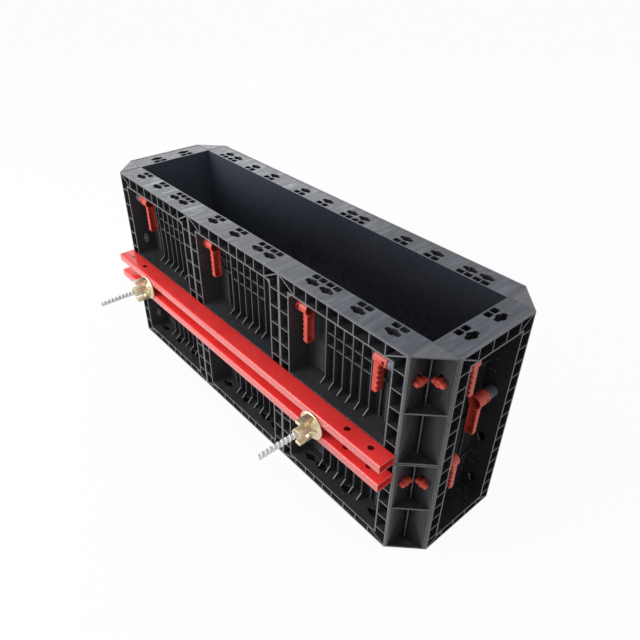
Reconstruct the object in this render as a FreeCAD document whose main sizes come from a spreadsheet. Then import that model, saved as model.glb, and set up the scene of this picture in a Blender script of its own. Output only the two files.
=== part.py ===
import FreeCAD, Part
import os
import Sketcher

# Modular plastic column form: two long sides of ribbed panels in two rows, two tall end
# panels, eight open corner pieces, quarter-turn locking handles, and two pairs of steel
# walers pulled together by two tie rods with wing nuts.
# Frame: X along the long sides, Y through the form, +Z up; the origin is at floor level in
# the middle of the form. Millimetres throughout.

SIZES = [
    ("panel_width", 400, "width of a long-side panel"),
    ("end_width", 250, "width of an end panel, which is the gap between the long sides"),
    ("row_height", 300, "height of one row of panels"),
    ("panel_depth", 72, "contact face to outer edge"),
    ("wall", 4, "flanges, inner frame walls and corner plates"),
    ("face_plate", 4, "plate that the concrete bears on"),
    ("web", 3, "webs between the cells of the frame"),
    ("frame_side", 37, "width of the hollow frame up the sides"),
    ("frame_top", 38, "height of the hollow frame along the top"),
    ("frame_base", 28, "height of the hollow frame along the bottom"),
    ("web_left", 59, "first web of a long panel's top frame, from its left edge"),
    ("wide_cell", 45.5, "pitch of the three wide cells"),
    ("narrow_cell", 35.5, "pitch of the three narrow cells"),
    ("web_right", 57, "last web of that frame, from the right edge"),
    ("side_web_first", 48, "lowest web of the side frames of a long panel"),
    ("side_web_last", 52, "top web of those frames, below the top edge"),
    ("end_web_first", 32, "lowest web of the side frames of an end panel"),
    ("end_web_last", 48, "top web of those frames, below the top edge"),
    ("end_top_first", -67, "first web of the top frame of an end panel"),
    ("end_top_cell", 47.3, "pitch of the top cells of an end panel"),
    ("rib_first", -70, "first upright rib in the recess"),
    ("rib_pitch", 30, "pitch of the upright ribs"),
    ("rib_thick", 3.5, "thickness of a rib"),
    ("rib_depth", 23, "height of a rib above the face plate"),
    ("key_first", -126.5, "first key hole of the top flange"),
    ("key_pitch", 100, "pitch of the key holes"),
    ("key_pair", 47, "gap to the extra key hole"),
    ("key_level", 36, "key and pin axes, measured out from the contact face"),
    ("end_key_first", -49, "first key hole of an end panel"),
    ("end_key_pitch", 98, "pitch of the key holes of an end panel"),
    ("key_half", 17.5, "half length of a key hole"),
    ("key_mid", 9, "half length of the wide middle of a key hole"),
    ("key_side", 10.5, "half width of a key hole"),
    ("slot_clear", 2.2, "room round a key bar in its slot"),
    ("tie_gap", 1, "room between a tie rod and the flange above it"),
    ("tie_shift", 17.5, "tie rods from the middle of their panels"),
    ("tie_clear", 2, "room round a tie rod in a face plate"),
    ("tie_rod", 16, "diameter of a tie rod"),
    ("tie_length", 814, "length of a tie rod"),
    ("corner_gap", 1.5, "joint between two corner pieces"),
    ("lip_clear", 3, "room between a key bar and the strip on a corner leg"),
    ("lip_thick", 2, "rise of that strip"),
    ("hub_radius", 17, "outside radius of the handle's hub"),
    ("eye_radius", 14.8, "radius of the open eye in the hub"),
    ("eye_depth", 30, "depth of the eye"),
    ("hub_length", 69.5, "length of the hub and its collar at a corner joint"),
    ("hub_short", 38.5, "length of the hub between two panels"),
    ("hub_clear", 0.5, "gap between the collar and the frame"),
    ("pin_radius", 8, "radius of the pin"),
    ("bar_clear", 0.4, "room between the key bar and the wall it locks behind"),
    ("bar_thick", 12.6, "thickness of the key bar along the pin"),
    ("bar_half", 16, "half length of the key bar"),
    ("grip_drop", 95, "pin axis to the foot of the grip"),
    ("grip_wide", 17, "width of the grip along the pin"),
    ("grip_half", 12, "half thickness of the grip"),
    ("grip_wall", 3, "walls of the hollow grip"),
    ("waler_length", 1200, "length of a waler tube"),
    ("waler_deep", 50, "waler tube, outward from the form"),
    ("waler_high", 25, "waler tube, height"),
    ("waler_wall", 2, "wall of the waler tube"),
    ("waler_gap", 34, "gap between the two tubes of a pair"),
    ("hole_radius", 7, "pin holes of a waler"),
    ("hole_outer", 550, "outer pin holes from the middle of a waler"),
    ("hole_inner", 475, "inner pin holes from the middle of a waler"),
    ("flange_radius", 38, "bearing flange of a wing nut"),
    ("flange_thick", 7, "thickness of that flange"),
    ("barrel_wall", 7, "bore of a wing nut to the corners of its barrel"),
    ("nut_height", 50, "height of a wing nut"),
    ("nut_clear", 0.7, "room round a tie rod in its nut"),
    ("wing_reach", 35, "wing tips from the rod axis"),
    ("wing_wide", 15, "width of a wing"),
    ("wing_thick", 11, "thickness of a wing prong"),
    ("wing_height", 40, "height of a wing prong"),
    ("wing_web", 20, "height of the web that joins a wing to the barrel"),
    ("plug_half", 17, "half length of a locking plug"),
    ("plug_side", 10, "half width of a locking plug"),
    ("plug_thick", 11, "height of a locking plug"),
]


class Dim:
    """A size with the sheet formula that it comes from."""

    def __init__(self, value, text):
        self.value = float(value)
        self.text = text

    @staticmethod
    def of(other):
        return other if isinstance(other, Dim) else Dim(other, repr(float(other)))

    def __add__(self, other):
        b = Dim.of(other)
        return Dim(self.value + b.value, f"({self.text} + {b.text})")

    def __sub__(self, other):
        b = Dim.of(other)
        return Dim(self.value - b.value, f"({self.text} - {b.text})")

    def __mul__(self, other):
        b = Dim.of(other)
        return Dim(self.value * b.value, f"({self.text} * {b.text})")

    def __truediv__(self, other):
        b = Dim.of(other)
        return Dim(self.value / b.value, f"({self.text} / {b.text})")

    def __neg__(self):
        return Dim(-self.value, f"(0 - {self.text})")

    __radd__ = __add__
    __rmul__ = __mul__

    def __rsub__(self, other):
        return Dim.of(other) - self


doc = FreeCAD.newDocument("ColumnForm")
sheet = doc.addObject("Spreadsheet::Sheet", "Sizes")
for row, (alias, value, note) in enumerate(SIZES, start=1):
    sheet.set(f"A{row}", str(value))
    sheet.setAlias(f"A{row}", alias)
    sheet.set(f"B{row}", note)
doc.recompute()
size = {alias: Dim(value, f"Sizes.{alias}") for alias, value, note in SIZES}

W, D, H, T = (size[k] for k in ("panel_width", "end_width", "row_height", "panel_depth"))
WALL, PLATE, WEB = size["wall"], size["face_plate"], size["web"]
SIDE, TOP, BASE = size["frame_side"], size["frame_top"], size["frame_base"]
LEVEL = size["key_level"]

# Sizes that follow from the ones in the sheet. A pin sits in the middle of the top side cell
# of its row, or as far above the foot of the row, and a tie rod just below the top flange.
SIDE_CELL = (H - size["side_web_first"] - size["side_web_last"]) / 4
END_CELL = (H * 2 - size["end_web_first"] - size["end_web_last"]) / 13
PIN_LOW = size["side_web_last"] + SIDE_CELL / 2
PIN_HIGH = H - PIN_LOW
SLOT_HALF = size["bar_half"] + size["slot_clear"]
SLOT_SIDE = size["pin_radius"] + size["slot_clear"]
BAR_GAP = WALL + size["bar_clear"]
ROD_RADIUS = size["tie_rod"] / 2
TIE_HEIGHT = H - WALL - size["tie_gap"] - ROD_RADIUS
TIE_HOLE = ROD_RADIUS + size["tie_clear"]
BORE_SIDES, BORE_CORNER = 12, 1.035276
NUT_BORE = (ROD_RADIUS + size["nut_clear"]) * BORE_CORNER
BARREL = NUT_BORE + size["barrel_wall"]


def origin_feature(body, role):
    return [f for f in body.Origin.OriginFeatures if f.Role == role][0]


def bind(obj, prop, dim):
    obj.setExpression(prop, Dim.of(dim).text)


def new_sketch(body, name, plane, offset=0):
    """A sketch on one of the body's own origin planes, moved along the plane's normal."""
    sketch = body.newObject("Sketcher::SketchObject", name)
    sketch.AttachmentSupport = [(origin_feature(body, plane), "")]
    sketch.MapMode = "FlatFace"
    bind(sketch, "AttachmentOffset.Base.z", offset)
    return sketch


def add_polygon(sketch, corners):
    """A closed outline whose corners are tied to the sheet."""
    corners = [(Dim.of(x), Dim.of(y)) for x, y in corners]
    spots = [FreeCAD.Vector(x.value, y.value, 0) for x, y in corners]
    count = len(spots)
    lines = [Part.LineSegment(spots[i], spots[(i + 1) % count]) for i in range(count)]
    ids = sketch.addGeometry(lines, False)
    rules = [
        Sketcher.Constraint("Coincident", ids[i], 2, ids[(i + 1) % count], 1)
        for i in range(count)
    ]
    for i, spot in enumerate(spots):
        rules.append(Sketcher.Constraint("DistanceX", -1, 1, ids[i], 1, spot.x))
        rules.append(Sketcher.Constraint("DistanceY", -1, 1, ids[i], 1, spot.y))
    numbers = sketch.addConstraint(rules)
    for i, (x, y) in enumerate(corners):
        sketch.setExpression(f"Constraints[{numbers[count + 2 * i]}]", x.text)
        sketch.setExpression(f"Constraints[{numbers[count + 2 * i + 1]}]", y.text)


def add_rectangle(sketch, x0, x1, y0, y1):
    add_polygon(sketch, [(x0, y0), (x1, y0), (x1, y1), (x0, y1)])


def add_ring(sketch, x, y, radius, sides, turn=0.0):
    """A regular outline of so many sides round a centre."""
    corners = []
    for i in range(sides):
        way = FreeCAD.Rotation(FreeCAD.Vector(0, 0, 1), turn + 360.0 * i / sides).multVec(
            FreeCAD.Vector(1, 0, 0)
        )
        corners.append((x + radius * round(way.x, 6), y + radius * round(way.y, 6)))
    add_polygon(sketch, corners)


def pad(body, name, sketch, length, reverse=False):
    feature = body.newObject("PartDesign::Pad", name)
    feature.Profile = sketch
    bind(feature, "Length", length)
    feature.Reversed = reverse
    body.Tip = feature
    return feature


def pocket(body, name, sketch, length, reverse=False):
    """A cut that must take material away."""
    doc.recompute()
    before = body.Shape.Volume
    feature = body.newObject("PartDesign::Pocket", name)
    feature.Profile = sketch
    bind(feature, "Length", length)
    feature.Reversed = reverse
    body.Tip = feature
    doc.recompute()
    if body.Shape.Volume > before - 1:
        raise RuntimeError(f"{body.Label} {name} cuts nothing")
    return feature


def repeat(body, name, feature, axis, pitch, count):
    """A row of like features, one pitch apart."""
    row = body.newObject("PartDesign::LinearPattern", name)
    row.Originals = [feature]
    row.Direction = (origin_feature(body, axis), [""])
    bind(row, "Length", pitch * (count - 1))
    row.Occurrences = count
    body.Tip = row
    return row


def new_body(name):
    return doc.addObject("PartDesign::Body", name)


# Panels lie on their contact face while they are drawn: x across, y up, z outward.


def panel_shell(name, width, height):
    """A plate with a frame round it, and the recess that the frame encloses."""
    body = new_body(name)
    outline = new_sketch(body, name + "Outline", "XY_Plane")
    add_rectangle(outline, -width / 2, width / 2, 0, height)
    pad(body, name + "Block", outline, T)
    recess = new_sketch(body, name + "RecessLines", "XY_Plane", T)
    add_rectangle(recess, SIDE - width / 2, width / 2 - SIDE, BASE, height - TOP)
    pocket(body, name + "Recess", recess, T - PLATE)
    return body


def frame_cells(body, name, x0, x1, height, pitch, count):
    """A row of like cells along the top frame, and the same row along the bottom frame."""
    lines = new_sketch(body, name + "Lines", "XY_Plane", T)
    for low, high in ((WALL, BASE - WALL), (height - TOP + WALL, height - WALL)):
        add_rectangle(lines, x0 + WEB / 2, x1 - WEB / 2, low, high)
    cells = pocket(body, name, lines, T - PLATE)
    if count > 1:
        repeat(body, name + "Row", cells, "X_Axis", pitch, count)


def side_cells(body, name, width, y0, pitch, count):
    """The cells up both side frames."""
    lines = new_sketch(body, name + "Lines", "XY_Plane", T)
    for x0, x1 in ((WALL - width / 2, SIDE - WALL - width / 2), (width / 2 - SIDE + WALL, width / 2 - WALL)):
        add_rectangle(lines, x0, x1, y0 + WEB / 2, y0 + pitch - WEB / 2)
    cells = pocket(body, name, lines, T - PLATE)
    repeat(body, name + "Row", cells, "Y_Axis", pitch, count)


def corner_cells(body, name, width, height, web_left, web_right, low_web, high_web):
    """The frame's four corners: a brace runs from each outer corner to the foot of the last
    web, with a three-sided cell on the web's side and a four-sided cell below it."""
    lines = new_sketch(body, name + "Lines", "XY_Plane", T)
    for sign, web in ((-1, web_left - WEB / 2), (1, web_right + WEB / 2)):
        edge = (width / 2 - WALL) * sign
        inner = (width / 2 - SIDE + WALL) * sign
        for up, outer, deep, side_web in (
            (-1, WALL, BASE - WALL, low_web - WEB / 2),
            (1, height - WALL, height - TOP + WALL, high_web + WEB / 2),
        ):
            slope = (outer - deep) / (edge - web)
            add_polygon(lines, [(edge - WEB * (2 * sign), outer), (web, outer), (web, deep + WEB * up)])
            add_polygon(
                lines,
                [
                    (edge, outer - WEB * up),
                    (inner, deep + (inner - web) * slope - WEB * up),
                    (inner, side_web),
                    (edge, side_web),
                ],
            )
    pocket(body, name, lines, T - PLATE)


def key_holes(body, name, x, count, pitch, height):
    """Key holes through the top flange: a wide middle with a lobe at both ends."""
    half, mid, side = size["key_half"], size["key_mid"], size["key_side"]
    lines = new_sketch(body, name + "Lines", "XZ_Plane", -height)
    add_polygon(
        lines,
        [
            (x - half, LEVEL),
            (x - mid, LEVEL - side),
            (x + mid, LEVEL - side),
            (x + half, LEVEL),
            (x + mid, LEVEL + side),
            (x - mid, LEVEL + side),
        ],
    )
    hole = pocket(body, name, lines, WALL, reverse=True)
    if count > 1:
        repeat(body, name + "Row", hole, "X_Axis", pitch, count)


def pin_slot(body, name, x, y, length, reverse):
    """A slot for a pin and its key bar through the side frame at that height."""
    lines = new_sketch(body, name + "Lines", "YZ_Plane", x)
    add_rectangle(lines, y - SLOT_HALF, y + SLOT_HALF, LEVEL - SLOT_SIDE, LEVEL + SLOT_SIDE)
    return pocket(body, name, lines, length, reverse)


def make_long_panel(name):
    """The whole panel, and the same panel before its key holes are cut."""
    body = panel_shell(name, W, H)
    web, wide, narrow = size["web_left"] - W / 2, size["wide_cell"], size["narrow_cell"]
    last = W / 2 - size["web_right"]
    frame_cells(body, name + "Wide", web, web + wide, H, wide, 3)
    middle = web + wide * 3
    frame_cells(body, name + "Narrow", middle, middle + narrow, H, narrow, 3)
    frame_cells(body, name + "Last", middle + narrow * 3, last, H, narrow, 1)
    low = size["side_web_first"]
    side_cells(body, name + "Side", W, low, SIDE_CELL, 4)
    corner_cells(body, name + "Corner", W, H, web, last, low, low + SIDE_CELL * 4)
    ribs = new_sketch(body, name + "RibLines", "XY_Plane", PLATE)
    half = size["rib_thick"] / 2
    add_rectangle(ribs, size["rib_first"] - half, size["rib_first"] + half, BASE - WALL, H - TOP + WALL)
    rib = pad(body, name + "Rib", ribs, size["rib_depth"])
    repeat(body, name + "RibRow", rib, "X_Axis", size["rib_pitch"], 6)
    pin_slot(body, name + "LeftSlot", -W / 2, PIN_HIGH, SIDE, True)
    plain = pin_slot(body, name + "RightSlot", W / 2, PIN_HIGH, SIDE, False)
    first, pitch = size["key_first"], size["key_pitch"]
    key_holes(body, name + "Keys", first, 3, pitch, H)
    key_holes(body, name + "PairKey", first + pitch * 2 + size["key_pair"], 1, 0, H)
    return body, plain


def make_end_panel(name):
    body = panel_shell(name, D, H * 2)
    web, cell = size["end_top_first"], size["end_top_cell"]
    frame_cells(body, name + "Cell", web, web + cell, H * 2, cell, 3)
    low = size["end_web_first"]
    side_cells(body, name + "Side", D, low, END_CELL, 13)
    corner_cells(body, name + "Corner", D, H * 2, web, web + cell * 3, low, low + END_CELL * 13)
    key_holes(body, name + "Keys", size["end_key_first"], 2, size["end_key_pitch"], H * 2)
    near = pin_slot(body, name + "NearSlot", -D / 2, PIN_HIGH, SIDE, True)
    repeat(body, name + "NearSlotRow", near, "Y_Axis", H, 2)
    far = pin_slot(body, name + "FarSlot", D / 2, PIN_LOW, SIDE, False)
    repeat(body, name + "FarSlotRow", far, "Y_Axis", H, 2)
    pin_slot(body, name + "FarHighSlot", D / 2, PIN_HIGH, SIDE, False)
    return body


def make_corner(name):
    """Two legs at right angles with three plates between them, open along the slope. The
    inner corner is the origin, the legs run to +x and to -y."""
    body = new_body(name)
    tall = H - size["corner_gap"]
    outline = new_sketch(body, name + "Outline", "XY_Plane")
    add_polygon(outline, [(0, 0), (0, -T), (T, 0)])
    pad(body, name + "Block", outline, tall)
    room = (tall - WALL * 3) / 2
    hollow = new_sketch(body, name + "HollowLines", "XY_Plane", WALL)
    add_rectangle(hollow, WALL, T, -T, -WALL)
    cut = pocket(body, name + "Hollow", hollow, room, reverse=True)
    repeat(body, name + "HollowRow", cut, "Z_Axis", room + WALL, 2)
    lip = new_sketch(body, name + "LipLines", "XY_Plane", WALL)
    rise = WALL + size["lip_thick"]
    start = LEVEL + size["bar_half"] + size["lip_clear"]
    root = WALL / 2
    add_polygon(lip, [(start, -root), (T - root, -root), (T - rise, -rise), (start, -rise)])
    pad(body, name + "Lip", lip, tall - WALL * 2)
    half, side = SLOT_HALF, SLOT_SIDE
    up = PIN_HIGH - size["corner_gap"]
    lines = new_sketch(body, name + "LongLines", "YZ_Plane", 0)
    add_rectangle(lines, -LEVEL - side, -LEVEL + side, up - half, up + half)
    pocket(body, name + "LongSlot", lines, WALL, reverse=True)
    lines = new_sketch(body, name + "EndLines", "XZ_Plane", 0)
    add_rectangle(lines, LEVEL - side, LEVEL + side, up - half, up + half)
    pocket(body, name + "EndSlot", lines, rise, reverse=True)
    return body


def with_low_slot(name, corner):
    """A corner piece whose -y leg has a second slot, for the low pin of an end panel."""
    tool = doc.addObject("Part::Box", name + "Tool")
    bind(tool, "Length", WALL * 3)
    bind(tool, "Width", SLOT_SIDE * 2)
    bind(tool, "Height", SLOT_HALF * 2)
    bind(tool, "Placement.Base.x", -WALL)
    bind(tool, "Placement.Base.y", -LEVEL - SLOT_SIDE)
    bind(tool, "Placement.Base.z", PIN_LOW - size["corner_gap"] - SLOT_HALF)
    slotted = doc.addObject("Part::Cut", name)
    slotted.Base = corner
    slotted.Tool = tool
    return slotted


def make_handle(name, length):
    """Quarter-turn handle with a hub of that length. The pin runs along +x through the joint
    face at x = 0; the grip hangs towards -z from the open end of the hub."""
    body = new_body(name)
    tail = -SIDE - size["hub_clear"]
    start = tail - length
    hub = new_sketch(body, name + "HubLines", "YZ_Plane", start)
    add_ring(hub, 0, 0, size["hub_radius"], 8, 22.5)
    pad(body, name + "Hub", hub, length)
    half, wide = size["grip_half"], size["grip_wide"]
    grip = new_sketch(body, name + "GripLines", "XY_Plane", -size["grip_drop"])
    add_rectangle(grip, start, start + wide, -half, half)
    pad(body, name + "Grip", grip, size["grip_drop"] - size["eye_radius"] + 2)
    pin = new_sketch(body, name + "PinLines", "YZ_Plane", tail)
    add_ring(pin, 0, 0, size["pin_radius"], 6)
    pad(body, name + "Pin", pin, BAR_GAP - tail)
    bar = new_sketch(body, name + "BarLines", "YZ_Plane", BAR_GAP)
    bar_half, bar_side = size["bar_half"], size["pin_radius"]
    add_rectangle(bar, -bar_half, bar_half, -bar_side, bar_side)
    pad(body, name + "Bar", bar, size["bar_thick"])
    eye = new_sketch(body, name + "EyeLines", "YZ_Plane", start)
    add_ring(eye, 0, 0, size["eye_radius"], 8, 22.5)
    pocket(body, name + "Eye", eye, size["eye_depth"], reverse=True)
    wall = size["grip_wall"]
    channel = new_sketch(body, name + "ChannelLines", "YZ_Plane", start)
    add_rectangle(channel, -half + wall, half - wall, -size["grip_drop"] + wall, -size["hub_radius"] - wall)
    pocket(body, name + "Channel", channel, wide - wall, reverse=True)
    return body


def make_waler(name):
    """A rectangular tube along x with two pin holes near each end."""
    body = new_body(name)
    deep, high, wall = size["waler_deep"], size["waler_high"], size["waler_wall"]
    length = size["waler_length"]
    section = new_sketch(body, name + "Section", "YZ_Plane", -length / 2)
    add_rectangle(section, -deep / 2, deep / 2, -high / 2, high / 2)
    add_rectangle(section, -deep / 2 + wall, deep / 2 - wall, -high / 2 + wall, high / 2 - wall)
    pad(body, name + "Tube", section, length)
    holes = new_sketch(body, name + "HoleLines", "XY_Plane", high / 2)
    for x in (-size["hole_outer"], -size["hole_inner"], size["hole_inner"], size["hole_outer"]):
        add_ring(holes, x, 0, size["hole_radius"], 8, 22.5)
    pocket(body, name + "Holes", holes, high)
    return body


def make_nut(name):
    """Cast wing nut. Its axis is z, the flange bears at z = 0 and the wings point to +z."""
    body = new_body(name)
    flange = new_sketch(body, name + "FlangeLines", "XY_Plane")
    add_ring(flange, 0, 0, size["flange_radius"], 12, 15.0)
    pad(body, name + "Flange", flange, size["flange_thick"])
    barrel = new_sketch(body, name + "BarrelLines", "XY_Plane")
    add_ring(barrel, 0, 0, BARREL, 6, 30.0)
    pad(body, name + "Barrel", barrel, size["nut_height"])
    half = size["wing_wide"] / 2
    reach, thick = size["wing_reach"], size["wing_thick"]
    wings = new_sketch(body, name + "WingLines", "XZ_Plane", -half)
    for way in (1, -1):
        add_polygon(
            wings,
            [
                (BARREL * (0.5 * way), 0),
                (reach * way, 0),
                (reach * way, size["wing_height"]),
                ((reach - thick) * way, size["wing_height"]),
                ((reach - thick) * way, size["wing_web"]),
                (BARREL * (0.5 * way), size["wing_web"]),
            ],
        )
    pad(body, name + "Wings", wings, half * 2)
    bore = new_sketch(body, name + "BoreLines", "XY_Plane", size["nut_height"])
    add_ring(bore, 0, 0, NUT_BORE, BORE_SIDES)
    pocket(body, name + "Bore", bore, size["nut_height"])
    return body


def make_rod(name):
    rod = doc.addObject("Part::Cylinder", name)
    bind(rod, "Radius", ROD_RADIUS)
    bind(rod, "Height", size["tie_length"])
    return rod


def make_plug(name):
    """A key-shaped plug that lies against a frame wall, its long way upright."""
    body = new_body(name)
    half, side = size["plug_half"], size["plug_side"]
    lines = new_sketch(body, name + "Lines", "YZ_Plane")
    add_polygon(
        lines,
        [
            (-side * 0.6, -half),
            (side * 0.6, -half),
            (side, 0),
            (side * 0.6, half),
            (-side * 0.6, half),
            (-side, 0),
        ],
    )
    pad(body, name + "Head", lines, size["plug_thick"])
    return body


panel_a, plain_a = make_long_panel("LongPanel")
end_master = make_end_panel("EndPanel")
corner_master = make_corner("CornerPiece")
corner_low = with_low_slot("CornerPieceLow", corner_master)
handle_master = make_handle("LockHandle", size["hub_length"])
handle_short = make_handle("ShortHandle", size["hub_short"])
waler_master = make_waler("Waler")
nut_master = make_nut("WingNut")
rod_master = make_rod("TieRod")
plug_master = make_plug("LockPlug")


def mirrored(name, source):
    twin = doc.addObject("Part::Mirroring", name)
    twin.Source = source
    twin.Normal = FreeCAD.Vector(1, 0, 0)
    return twin


def with_tie_hole(name, panel, shift):
    """A panel with a hole through its face plate for a tie rod."""
    drill = doc.addObject("Part::Prism", name + "Drill")
    drill.Polygon = 8
    bind(drill, "Circumradius", TIE_HOLE)
    bind(drill, "Height", PLATE * 3)
    bind(drill, "Placement.Base.x", shift)
    bind(drill, "Placement.Base.y", TIE_HEIGHT)
    bind(drill, "Placement.Base.z", -PLATE)
    holed = doc.addObject("Part::Cut", name)
    holed.Base = panel
    holed.Tool = drill
    return holed


# Panel B is panel A mirrored. The top flanges of the lower row are covered by the upper row,
# so the lower panels are taken before the key holes.
panel_b = mirrored("LongPanelMirrored", panel_a)
plain_b = mirrored("LongPanelPlainMirrored", plain_a)
SHIFT = size["tie_shift"]
tied = {
    ("front", "left"): with_tie_hole("TiedFrontLeft", plain_a, -SHIFT),
    ("front", "right"): with_tie_hole("TiedFrontRight", plain_b, -SHIFT),
    ("rear", "left"): with_tie_hole("TiedRearLeft", plain_a, SHIFT),
    ("rear", "right"): with_tie_hole("TiedRearRight", plain_b, SHIFT),
}

subparts = []


def place(label, master, x, y, z, turn):
    """One piece of the form: a linked copy of its master at its own place."""
    piece = doc.addObject("App::Link", "Piece_" + label)
    piece.setLink(master)
    piece.Label = label
    spots = [Dim.of(v) for v in (x, y, z)]
    piece.Placement = FreeCAD.Placement(FreeCAD.Vector(*[s.value for s in spots]), turn)
    for axis, spot in zip("xyz", spots):
        bind(piece, f"Placement.Base.{axis}", spot)
    subparts.append(piece)


def spin(degrees):
    return FreeCAD.Rotation(FreeCAD.Vector(0, 0, 1), degrees)


UPRIGHT = FreeCAD.Rotation(FreeCAD.Vector(1, 0, 0), 90)
FRONT, REAR = UPRIGHT, spin(180) * UPRIGHT
ROWS = (("lower", Dim.of(0)), ("upper", H))

# The paired key holes are on the right of the first two front panels and on the left of the
# third; the rear side is laid out the other way about. The tie rods pass through the lower
# panels at both ends of each side.
for side, y, turn, middle in (("front", -D / 2, FRONT, "a"), ("rear", D / 2, REAR, "b")):
    place(f"panel_{side}_left_lower", tied[side, "left"], -W, y, 0, turn)
    place(f"panel_{side}_middle_lower", plain_a if middle == "a" else plain_b, 0, y, 0, turn)
    place(f"panel_{side}_right_lower", tied[side, "right"], W, y, 0, turn)
    place(f"panel_{side}_left_upper", panel_a, -W, y, H, turn)
    place(f"panel_{side}_middle_upper", panel_a if middle == "a" else panel_b, 0, y, H, turn)
    place(f"panel_{side}_right_upper", panel_b, W, y, H, turn)

EDGE = W * 1.5
place("panel_end_right", end_master, EDGE, 0, 0, spin(90) * UPRIGHT)
place("panel_end_left", end_master, -EDGE, 0, 0, spin(-90) * UPRIGHT)

# The low slots at the far side of the end panels open into the corner pieces at the rear right
# and at the front left.
for row, foot in ROWS:
    z = foot + size["corner_gap"]
    place(f"corner_front_right_{row}", corner_master, EDGE, -D / 2, z, spin(0))
    place(f"corner_rear_right_{row}", corner_low, EDGE, D / 2, z, spin(90))
    place(f"corner_rear_left_{row}", corner_master, -EDGE, D / 2, z, spin(180))
    place(f"corner_front_left_{row}", corner_low, -EDGE, -D / 2, z, spin(270))

# Handles: one in the left frame of every long panel and one in the right frame of the last
# panel of a side, in both rows; three in each end panel. A handle's pin points at its joint,
# and the handles at the joints between two panels have the short hub.
for side, turn, out in (("front", 0, -1), ("rear", 180, 1)):
    for row, foot in ROWS:
        z = foot + PIN_HIGH
        y = (D / 2 + LEVEL) * out
        for number, joint in enumerate((-1.5, -0.5, 0.5), start=1):
            master = handle_master if number == 1 else handle_short
            place(f"handle_{side}_{number}_{row}", master, W * (joint * -out), y, z, spin(turn + 180))
        place(f"handle_{side}_4_{row}", handle_master, W * (1.5 * -out), y, z, spin(turn))

for side, turn, out in (("right", 90, 1), ("left", -90, -1)):
    x = (EDGE + LEVEL) * out
    near, far = -D / 2 * out, D / 2 * out
    place(f"handle_end_{side}_1", handle_master, x, near, PIN_HIGH, spin(turn + 180))
    place(f"handle_end_{side}_2", handle_master, x, near, H + PIN_HIGH, spin(turn + 180))
    place(f"handle_end_{side}_3", handle_master, x, far, H + PIN_LOW, spin(turn))

# Each pair of walers lies against the outer edges of the panels, one tube above and one
# below the tie rods.
rise = (size["waler_gap"] + size["waler_high"]) / 2
for side, out in (("front", -1), ("rear", 1)):
    y = (D / 2 + T + size["waler_deep"] / 2) * out
    place(f"waler_{side}_lower", waler_master, 0, y, TIE_HEIGHT - rise, spin(0))
    place(f"waler_{side}_upper", waler_master, 0, y, TIE_HEIGHT + rise, spin(0))

# The wings of the nuts stand upright at rest.
UP = spin(90)
for side, x in (("left", -W - SHIFT), ("right", W - SHIFT)):
    place(f"tie_rod_{side}", rod_master, x, size["tie_length"] / 2, TIE_HEIGHT, FRONT)
    bearing = D / 2 + T + size["waler_deep"]
    place(f"wing_nut_front_{side}", nut_master, x, -bearing, TIE_HEIGHT, FRONT * UP)
    place(f"wing_nut_rear_{side}", nut_master, x, bearing, TIE_HEIGHT, REAR * UP)

# Plugs close the low slots of the first front panel.
for row, foot in ROWS:
    place(f"lock_plug_{row}", plug_master, -EDGE + SIDE, -(D / 2 + LEVEL), foot + PIN_LOW, spin(0))

doc.recompute()

for obj in doc.Objects:
    if "Invalid" in obj.State or "Error" in obj.State:
        raise RuntimeError(f"{obj.Label} did not build: {obj.State}")
for piece in subparts:
    if piece.Shape.isNull() or not piece.Shape.isValid() or len(piece.Shape.Solids) != 1:
        raise RuntimeError(f"{piece.Label} is not one sound solid")

os.makedirs("parts", exist_ok=True)
for piece in subparts:
    piece.Shape.Solids[0].exportStep(f"parts/{piece.Label}.step")
print(len(subparts), "sub-parts written")
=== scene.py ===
"""Looks of a modular plastic column form: ribbed black panels, open corner pieces, red locking
handles, steel walers, and tie rods with wing nuts. The sizes in the code are millimetres in each
piece's own frame; a piece's mesh is in metres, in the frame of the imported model."""

import math

import bpy
import numpy as np
from bpy.props import FloatProperty, FloatVectorProperty, PointerProperty
from mathutils import Matrix, Vector


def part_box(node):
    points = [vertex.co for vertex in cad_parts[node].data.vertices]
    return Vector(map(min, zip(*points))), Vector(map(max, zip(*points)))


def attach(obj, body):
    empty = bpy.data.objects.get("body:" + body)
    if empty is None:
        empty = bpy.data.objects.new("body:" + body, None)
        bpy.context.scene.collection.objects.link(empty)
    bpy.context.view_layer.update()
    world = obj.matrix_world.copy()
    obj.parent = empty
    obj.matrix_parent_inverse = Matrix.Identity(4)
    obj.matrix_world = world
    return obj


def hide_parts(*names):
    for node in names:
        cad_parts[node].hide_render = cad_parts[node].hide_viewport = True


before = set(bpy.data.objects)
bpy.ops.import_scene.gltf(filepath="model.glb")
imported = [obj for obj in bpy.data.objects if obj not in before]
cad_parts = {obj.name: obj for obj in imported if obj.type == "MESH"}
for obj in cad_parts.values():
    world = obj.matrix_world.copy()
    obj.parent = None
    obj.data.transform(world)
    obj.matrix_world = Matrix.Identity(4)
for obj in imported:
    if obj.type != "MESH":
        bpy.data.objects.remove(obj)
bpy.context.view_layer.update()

bl_info = {
    "name": "Column form looks",
    "version": (1, 0, 0),
    "blender": (4, 5, 0),
    "location": "View3D > Sidebar > Column form",
    "description": "Builds the visible pieces of a plastic column form round its packed model",
    "category": "Object",
}


def span(node, axis):
    """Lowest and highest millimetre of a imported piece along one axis."""
    low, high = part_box(node)
    return low[axis] * 1000, high[axis] * 1000


def centre(node, axis):
    """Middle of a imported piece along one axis, in millimetres."""
    return sum(span(node, axis)) / 2


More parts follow.
